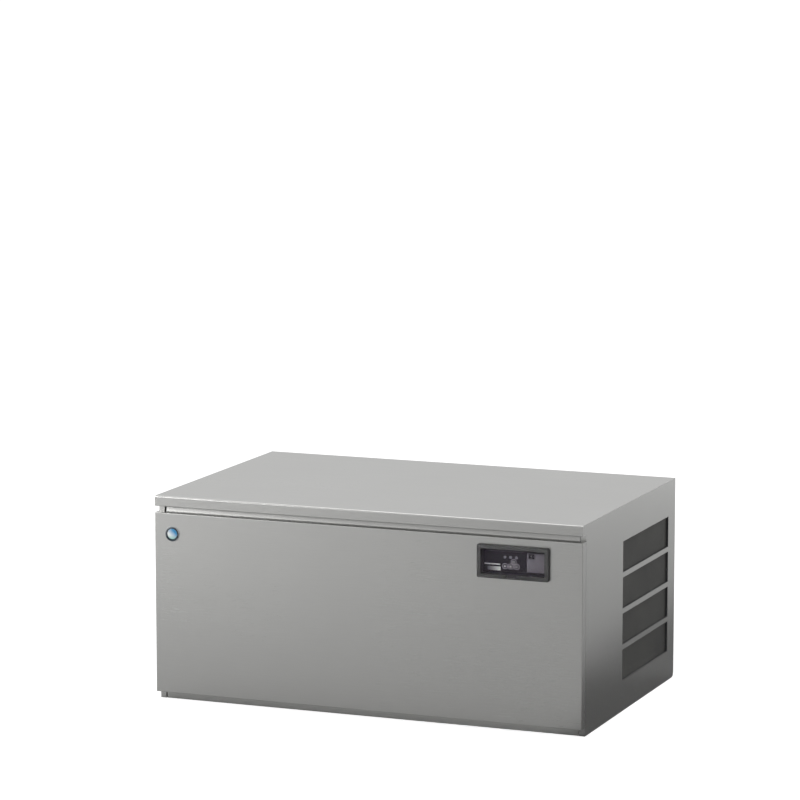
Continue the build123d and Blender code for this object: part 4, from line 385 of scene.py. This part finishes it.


# Badge rim: chromed outside, with a dark enamel band inside the crown, painted lighter towards the upper left as a
# painted highlight
def makeRimFinish():
    low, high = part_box("badge_rim")
    look = {"chrome": "#dfe3e6", "enamel": "#27333f", "litEnamel": "#a9adb0", "bandRadius": 17.5}
    material = bpy.data.materials.new("BadgeChrome")
    material.use_nodes = True
    tree = material.node_tree
    shader = tree.nodes["Principled BSDF"]
    place = addNode(tree, "ShaderNodeTexCoord").outputs["Object"]
    axes = addNode(tree, "ShaderNodeSeparateXYZ", {"Vector": place})
    flat = addNode(tree, "ShaderNodeCombineXYZ", {"X": axes.outputs["X"], "Z": axes.outputs["Z"]})
    centre = ((low[0] + high[0]) / 2, 0, (low[2] + high[2]) / 2)
    reach = addNode(tree, "ShaderNodeVectorMath", {0: flat.outputs["Vector"], 1: centre}, operation="DISTANCE")
    isChrome = addNode(tree, "ShaderNodeMath", {0: reach.outputs["Value"], 1: look["bandRadius"] * mm},
                       operation="GREATER_THAN").outputs[0]
    # Painted highlight: the enamel band blends towards litEnamel on its upper left side
    slant = addNode(tree, "ShaderNodeMath", {0: axes.outputs["Z"], 1: axes.outputs["X"]},
                    operation="SUBTRACT").outputs[0]
    centreSlant = centre[2] - centre[0]
    lit = addNode(tree, "ShaderNodeMapRange", {"Value": slant, "From Min": centreSlant + 4 * mm,
                                               "From Max": centreSlant + 24 * mm}).outputs["Result"]
    band = addNode(tree, "ShaderNodeMixRGB", {"Fac": lit, "Color1": toLinear(look["enamel"]),
                                              "Color2": toLinear(look["litEnamel"])}).outputs["Color"]
    colour = addNode(tree, "ShaderNodeMixRGB", {"Fac": isChrome, "Color1": band,
                                                "Color2": toLinear(look["chrome"])})
    tree.links.new(colour.outputs["Color"], shader.inputs["Base Color"])
    tree.links.new(isChrome, shader.inputs["Metallic"])
    shader.inputs["Roughness"].default_value = 0.14
    return material


materials["badge_chrome"] = makeRimFinish()
materials["display_clear"] = makeDisplayFinish()
materials["badge_resin"] = makeBadgeFinish()
sideSheet = turnedGrain("stainless_sheet", (0.9, 90, 0.9), (0.17, 0.23))

for part in frame["record"]["subparts"]:
    node = frame["nodes"][part["node"]]
    node.data.materials.clear()
    node.data.materials.append(materials[part["material_slot"]])
for name in ("left_side_panel", "right_side_panel"):
    frame["nodes"][name].material_slots[0].material = sideSheet
print("stage: finishes on the packed parts")


# Mesh pieces
def addPiece(name, vertices, faces, body, slot, material, smooth=False):
    mesh = bpy.data.meshes.new(name)
    shape = bmesh.new()
    corners = [shape.verts.new(v) for v in vertices]
    for face in faces:
        shape.faces.new([corners[i] for i in face])
    bmesh.ops.recalc_face_normals(shape, faces=shape.faces)
    for face in shape.faces:
        face.smooth = smooth
    shape.to_mesh(mesh)
    shape.free()
    mesh.materials.append(material)
    piece = bpy.data.objects.new(name, mesh)
    bpy.context.scene.collection.objects.link(piece)
    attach(piece, body)
    return piece


# Closed form of rings about Z; each ring is (height, radius) with the radius a number or a function of the angle
def ringForm(rings, segments, place, axis="z"):
    turn = {"z": Matrix(), "y": Matrix.Rotation(math.radians(-90), 4, "X"),
            "-y": Matrix.Rotation(math.radians(90), 4, "X")}[axis]
    vertices, faces = [], []
    for height, radius in rings:
        for step in range(segments):
            angle = 2 * math.pi * step / segments
            r = radius(angle, height) if callable(radius) else radius
            vertices.append(Vector(place) + turn @ Vector((r * math.cos(angle), r * math.sin(angle), height)))
    count = len(rings)
    for row in range(count - 1):
        for step in range(segments):
            after = (step + 1) % segments
            faces.append((row * segments + step, row * segments + after,
                          (row + 1) * segments + after, (row + 1) * segments + step))
    return vertices, faces


# Joins several (vertices, faces) lists into one
def joinForms(forms):
    vertices, faces = [], []
    for points, sides in forms:
        start = len(vertices)
        vertices += points
        faces += [tuple(i + start for i in side) for side in sides]
    return vertices, faces


# Flat closed shape in the XZ plane, from y towards the front by its thickness
def frontShape(outline, y, thickness):
    count = len(outline)
    back = [Vector((x, y, z)) for x, z in outline]
    front = [Vector((x, y - thickness, z)) for x, z in outline]
    sides = [(i, (i + 1) % count, count + (i + 1) % count, count + i) for i in range(count)]
    return back + front, [tuple(range(count))[::-1], tuple(range(count, 2 * count))] + sides


# Printed ring on a face that looks to the front
def printedRing(centre, inner, outer, y, thickness, segments=40):
    x, z = centre
    vertices, faces = [], []
    for radius, depth in ((inner, 0), (outer, 0), (outer, thickness), (inner, thickness)):
        for step in range(segments):
            angle = 2 * math.pi * step / segments
            vertices.append(Vector((x + radius * math.cos(angle), y - depth, z + radius * math.sin(angle))))
    for row in range(4):
        for step in range(segments):
            after = (step + 1) % segments
            low, high = row * segments, (row + 1) % 4 * segments
            faces.append((low + step, low + after, high + after, high + step))
    return vertices, faces


def middle(node):
    low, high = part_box(node)
    return [(a + b) / 2 for a, b in zip(low, high)]


# Fascia print: a ring round each key, three lamp marks, one plain stripe in place of a text line
fascia = {"ringInner": 6.0, "ringOuter": 6.7, "film": 0.06, "stripe": (297.5, 336.0, 392.6, 395.4),
          "pale": "#ece8f0", "bright": "#ffffff", "markSize": 2.5}
paleInk = makeFinish("PaleScreenPrint", {"colour": fascia["pale"], "shade": "#d4cfdb", "grain": (0.4, 0.4, 0.4),
                                         "rough": (0.5, 0.6), "bump": 0.004})
brightInk = makeFinish("BrightScreenPrint", {"colour": fascia["bright"], "shade": "#dcdcde",
                                             "grain": (0.4, 0.4, 0.4), "rough": (0.5, 0.6), "bump": 0.004})
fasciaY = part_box("control_housing")[0][1]
keys = [f"key_{index}" for index in (1, 2, 3, 4)]
rings = [printedRing((middle(key)[0], middle(key)[2]), fascia["ringInner"] * mm, fascia["ringOuter"] * mm,
                     fasciaY, fascia["film"] * mm) for key in keys]
addPiece("key_rings", *joinForms(rings), "cabinet", "display_clear", paleInk)


# Plain marks on the key caps: a bar, a square, a diamond and a ring
def keyMark(kind, x, z, y):
    size = fascia["markSize"] * mm
    film = fascia["film"] * mm
    if kind == "ring":
        return printedRing((x, z), 0.65 * size, size, y, film, 24)
    shapes = {"bar": [(-1, -0.25), (1, -0.25), (1, 0.25), (-1, 0.25)],
              "square": [(-0.7, -0.7), (0.7, -0.7), (0.7, 0.7), (-0.7, 0.7)],
              "diamond": [(0, -1), (0.9, 0), (0, 1), (-0.9, 0)]}
    return frontShape([(x + u * size, z + v * size) for u, v in shapes[kind]], y, film)


for key, kind in zip(keys, ("diamond", "square", "bar", "ring")):
    centre = middle(key)
    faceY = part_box(key)[0][1]
    addPiece(key + "_mark", *keyMark(kind, centre[0], centre[2], faceY), key, "display_clear", brightInk)

left, right, low, high = [value * mm for value in fascia["stripe"]]
addPiece("fascia_stripe", *frontShape([(left, low), (right, low), (right, high), (left, high)], fasciaY,
                                      fascia["film"] * mm), "cabinet", "display_clear", brightInk)
lampLow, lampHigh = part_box("display_lenses")
lampX = [347.6 * mm, 361.8 * mm, 376.0 * mm]
lampZ = 412.0 * mm
lampMarks = [printedRing((x, lampZ), 2.8 * mm, 3.2 * mm, fasciaY, fascia["film"] * mm, 28) for x in lampX]
addPiece("lamp_marks", *joinForms(lampMarks), "cabinet", "display_clear", paleInk)

# Moulded rib along the top of the fascia, which catches the light above the keys; it wears the lighter grey of the
# switch plate rather than the housing's black, so its brightness is partly real light on the rib and partly painted
# highlight
ledge = {"left": 72.0, "right": 21.0, "down": 5.6, "height": 1.3, "proud": 2.2}
bezelX, bezelZ = (middle("control_housing")[axis] for axis in (0, 2))
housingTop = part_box("control_housing")[1][2]
ribTop = housingTop - ledge["down"] * mm
rib = frontShape([(bezelX - ledge["left"] * mm, ribTop - ledge["height"] * mm),
                  (bezelX + ledge["right"] * mm, ribTop - ledge["height"] * mm),
                  (bezelX + ledge["right"] * mm, ribTop), (bezelX - ledge["left"] * mm, ribTop)],
                 fasciaY, ledge["proud"] * mm)
piece = addPiece("fascia_rib", *rib, "cabinet", "switch_steel", materials["switch_steel"])


# Rocker marks: a bar on the lower half and a ring on the upper, laid on the dished face
rocker = {"lean": 6.0, "front": 6.5, "dish": 1.2, "halfHeight": 4.5, "markDrop": 2.4, "film": 0.05}
rockerPin = next(joint["pos_m"] for joint in frame["record"]["behaviour"]["joints"]
                 if joint["child"] == "power_rocker")
dishRadius = (rocker["halfHeight"] ** 2 + rocker["dish"] ** 2) / (2 * rocker["dish"])


def ontoRocker(form):
    vertices, faces = form
    leaning = Matrix.Rotation(math.radians(rocker["lean"]), 4, "X")
    laid = []
    for v in vertices:
        z = v.z / mm
        face = math.sqrt(dishRadius ** 2 - z ** 2) - dishRadius + rocker["dish"] - rocker["front"]
        laid.append(Vector(rockerPin) + leaning @ Vector((v.x, face * mm + v.y, v.z)))
    return laid, faces


drop, film = rocker["markDrop"] * mm, rocker["film"] * mm
offMark = printedRing((0, drop), 0.75 * mm, 1.25 * mm, 0, film, 32)
onMark = frontShape([(-0.25 * mm, -drop - 1.2 * mm), (0.25 * mm, -drop - 1.2 * mm), (0.25 * mm, -drop),
                     (0.25 * mm, -drop + 1.2 * mm), (-0.25 * mm, -drop + 1.2 * mm), (-0.25 * mm, -drop)], 0, film)
addPiece("rocker_marks", *joinForms([ontoRocker(offMark), ontoRocker(onMark)]), "power_rocker", "display_clear",
         brightInk)
print("stage: fascia print")


# Panel screws: pan heads with a cross recess, in place of the plain discs
screw = {"radius": 4.0, "height": 2.2, "recessArm": 2.1, "recessHalfWidth": 0.55, "recessDepth": 1.2}


def crossRadius(angle, height):
    arm = screw["recessArm"] * mm
    half = screw["recessHalfWidth"] * mm
    across = min(abs(math.sin(angle)), abs(math.cos(angle)))
    return min(arm, half / max(across, 1e-6))


def screwHead(place):
    r, h = screw["radius"] * mm, screw["height"] * mm
    rings = [(0, 0.0), (0, r), (0.25 * h, r), (0.6 * h, 0.93 * r), (0.85 * h, 0.78 * r), (h, 0.58 * r),
             (h, crossRadius), (h - screw["recessDepth"] * mm, lambda a, z: 0.8 * crossRadius(a, z)),
             (h - screw["recessDepth"] * mm, 0.0)]
    return ringForm(rings, 48, place, "y")


low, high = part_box("rear_screws")
r = screw["radius"] * mm
heads = [screwHead((x, low[1], z)) for x in (low[0] + r, high[0] - r)
         for z in (low[2] + r, (low[2] + high[2]) / 2, high[2] - r)]
piece = addPiece("rear_screw_heads", *joinForms(heads), "cabinet", "zinc_screws", materials["zinc_screws"], True)
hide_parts("rear_screws")


# Pipe connections at the back: real pipe threads, hexagons and bores
pipe = {"thread": 13.2, "threadDepth": 1.16, "pitch": 1.814, "stub": 20.0, "hexFlat": 14.7, "hexDepth": 6.0,
        "stepsPerTurn": 6}


def threadRadius(angle, height):
    turnPart = (height / (pipe["pitch"] * mm) - angle / (2 * math.pi)) % 1.0
    return (pipe["thread"] - pipe["threadDepth"] * (1 - abs(2 * turnPart - 1))) * mm


def hexRadius(flat):
    return lambda angle, height: flat * mm / math.cos((angle + math.pi / 6) % (math.pi / 3) - math.pi / 6)


def threadedStub(start, end, bore):
    step = pipe["pitch"] * mm / pipe["stepsPerTurn"]
    count = int((end - start) / step)
    rings = [(start + index * (end - start) / count, threadRadius) for index in range(count + 1)]
    chamfer = (pipe["thread"] - pipe["threadDepth"]) * mm
    return rings[:-2] + [(end - step, chamfer), (end, chamfer - 0.6 * mm), (end, bore)]


drainLow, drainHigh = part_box("drain_fitting")
drainAt = middle("drain_fitting")
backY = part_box("rear_panel")[1][1] - 4 * mm
flange = backY + 5 * mm - drainLow[1]
drainRings = [(0, 8 * mm), (0, 12 * mm), (flange - 5 * mm, 12 * mm), (flange - 5 * mm, 18.4 * mm),
              (flange - 4.4 * mm, 19 * mm), (flange - 0.6 * mm, 19 * mm), (flange, 18.4 * mm)]
drainRings += threadedStub(flange, drainHigh[1] - drainLow[1], 8 * mm) + [(0, 8 * mm)]
piece = addPiece("drain_pipe_threaded", *ringForm(drainRings, 48, (drainAt[0], drainLow[1], drainAt[2]), "y"),
                 "cabinet", "fitting_brass", materials["fitting_brass"], True)
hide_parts("drain_fitting")


# Water inlet: threaded stub on a hexagon, with the solenoid valve behind the rear panel
inlet = {"neck": 10.0, "bore": 7.0, "hexagon": 14.7, "hexDepth": 6.0, "valveDepth": 40.0, "valveWidth": 36.0,
         "valveHeight": 32.0, "coilWidth": 48.0, "coilInset": 4.0, "outletRadius": 7.0}
inletLow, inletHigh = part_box("inlet_valve")
inletX, inletZ = inletLow[0] + inlet["coilWidth"] / 2 * mm, 85.0 * mm
bodyY = inletLow[1] + inlet["valveDepth"] * mm
neckLength = backY - bodyY
hexEnd = neckLength + inlet["hexDepth"] * mm
hexagon = hexRadius(inlet["hexagon"])
rings = [(0, inlet["bore"] * mm), (0, inlet["neck"] * mm), (neckLength, inlet["neck"] * mm),
         (neckLength, lambda a, z: 0.96 * hexagon(a, z)), (neckLength + 0.5 * mm, hexagon),
         (hexEnd - 0.5 * mm, hexagon), (hexEnd, lambda a, z: 0.96 * hexagon(a, z))]
rings += threadedStub(hexEnd, inletHigh[1] - bodyY, inlet["bore"] * mm) + [(0, inlet["bore"] * mm)]
piece = addPiece("inlet_threaded_stub", *ringForm(rings, 48, (inletX, bodyY, inletZ), "y"), "cabinet",
                 "fitting_brass", materials["fitting_brass"])
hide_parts("inlet_valve")


# Box with its corners given, for moulded blocks that get a bevel
def boxForm(low, high):
    vertices = [Vector((x, y, z)) for z in (low[2], high[2]) for y in (low[1], high[1]) for x in (low[0], high[0])]
    return vertices, [(0, 1, 3, 2), (4, 6, 7, 5), (0, 4, 5, 1), (1, 5, 7, 3), (3, 7, 6, 2), (2, 6, 4, 0)]


def softenEdges(piece, width):
    bevel = piece.modifiers.new("roundedEdges", "BEVEL")
    bevel.width = width * mm
    bevel.segments = 2
    bevel.limit_method = "ANGLE"


halfWidth, halfHeight, halfCoil = (inlet[key] / 2 * mm for key in ("valveWidth", "valveHeight", "coilWidth"))
inset = inlet["coilInset"] * mm
outlet = ringForm([(0, 0.0), (0, inlet["outletRadius"] * mm),
                   (inletHigh[2] - inletZ - halfHeight, inlet["outletRadius"] * mm),
                   (inletHigh[2] - inletZ - halfHeight, 0.0)], 32,
                  (inletX, bodyY - 26 * mm + 12 * mm - inset * 3, inletZ + halfHeight))
valve = [boxForm((inletX - halfWidth, inletLow[1], inletZ - halfHeight), (inletX + halfWidth, bodyY,
                                                                        inletZ + halfHeight)),
         boxForm((inletLow[0], inletLow[1] + inset, inletLow[2]), (inletHigh[0], bodyY - inset,
                                                                inletZ - halfHeight)), outlet]
piece = addPiece("inlet_valve_body", *joinForms(valve), "cabinet", "fitting_brass", materials["fitting_brass"])
softenEdges(piece, 1.2)
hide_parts("inlet_valve")

# Cable gland: hexagon, fluted dome nut and sealing lip, with its thread and lock nut inside the panel
gland = {"bore": 4.5, "thread": 9.5, "hexagon": 11.25, "hexDepth": 7.0, "domeRadius": 10.5, "domeHeight": 16.0,
         "flutes": 12, "fluteDepth": 0.7, "nutDepth": 5.0, "threadLength": 10.0, "lip": 1.5}


def fluted(radius):
    return lambda angle, height: radius - gland["fluteDepth"] * mm * max(0.0, math.cos(gland["flutes"] * angle)) ** 2


glandLow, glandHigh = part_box("cable_gland")
glandX, glandZ = (middle("cable_gland")[axis] for axis in (0, 2))
bore, thread, lock = gland["bore"] * mm, gland["thread"] * mm, gland["threadLength"] * mm
outer = backY - glandLow[1]
hexTop = outer + gland["hexDepth"] * mm
dome = gland["domeRadius"] * mm
end = glandHigh[1] - glandLow[1]
glandHex = hexRadius(gland["hexagon"])
rings = [(0, bore), (0, thread), (lock - gland["nutDepth"] * mm, thread), (lock - gland["nutDepth"] * mm, glandHex),
         (lock, glandHex), (lock, thread), (outer, thread), (outer, glandHex), (hexTop, glandHex), (hexTop, dome),
         (hexTop + 1.5 * mm, fluted(dome)), (hexTop + 8 * mm, fluted(dome)), (hexTop + 11 * mm, fluted(0.93 * dome)),
         (hexTop + 13.5 * mm, 0.8 * dome), (end - 0.6 * mm, bore + gland["lip"] * mm), (end, bore + 0.6 * mm),
         (end - 1.5 * mm, bore), (0, bore)]
piece = addPiece("cable_gland_fluted", *ringForm(rings, 96, (glandX, glandLow[1], glandZ), "y"), "cabinet",
                 "gland_nylon", materials["gland_nylon"])
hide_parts("cable_gland")
print("stage: rear fittings")
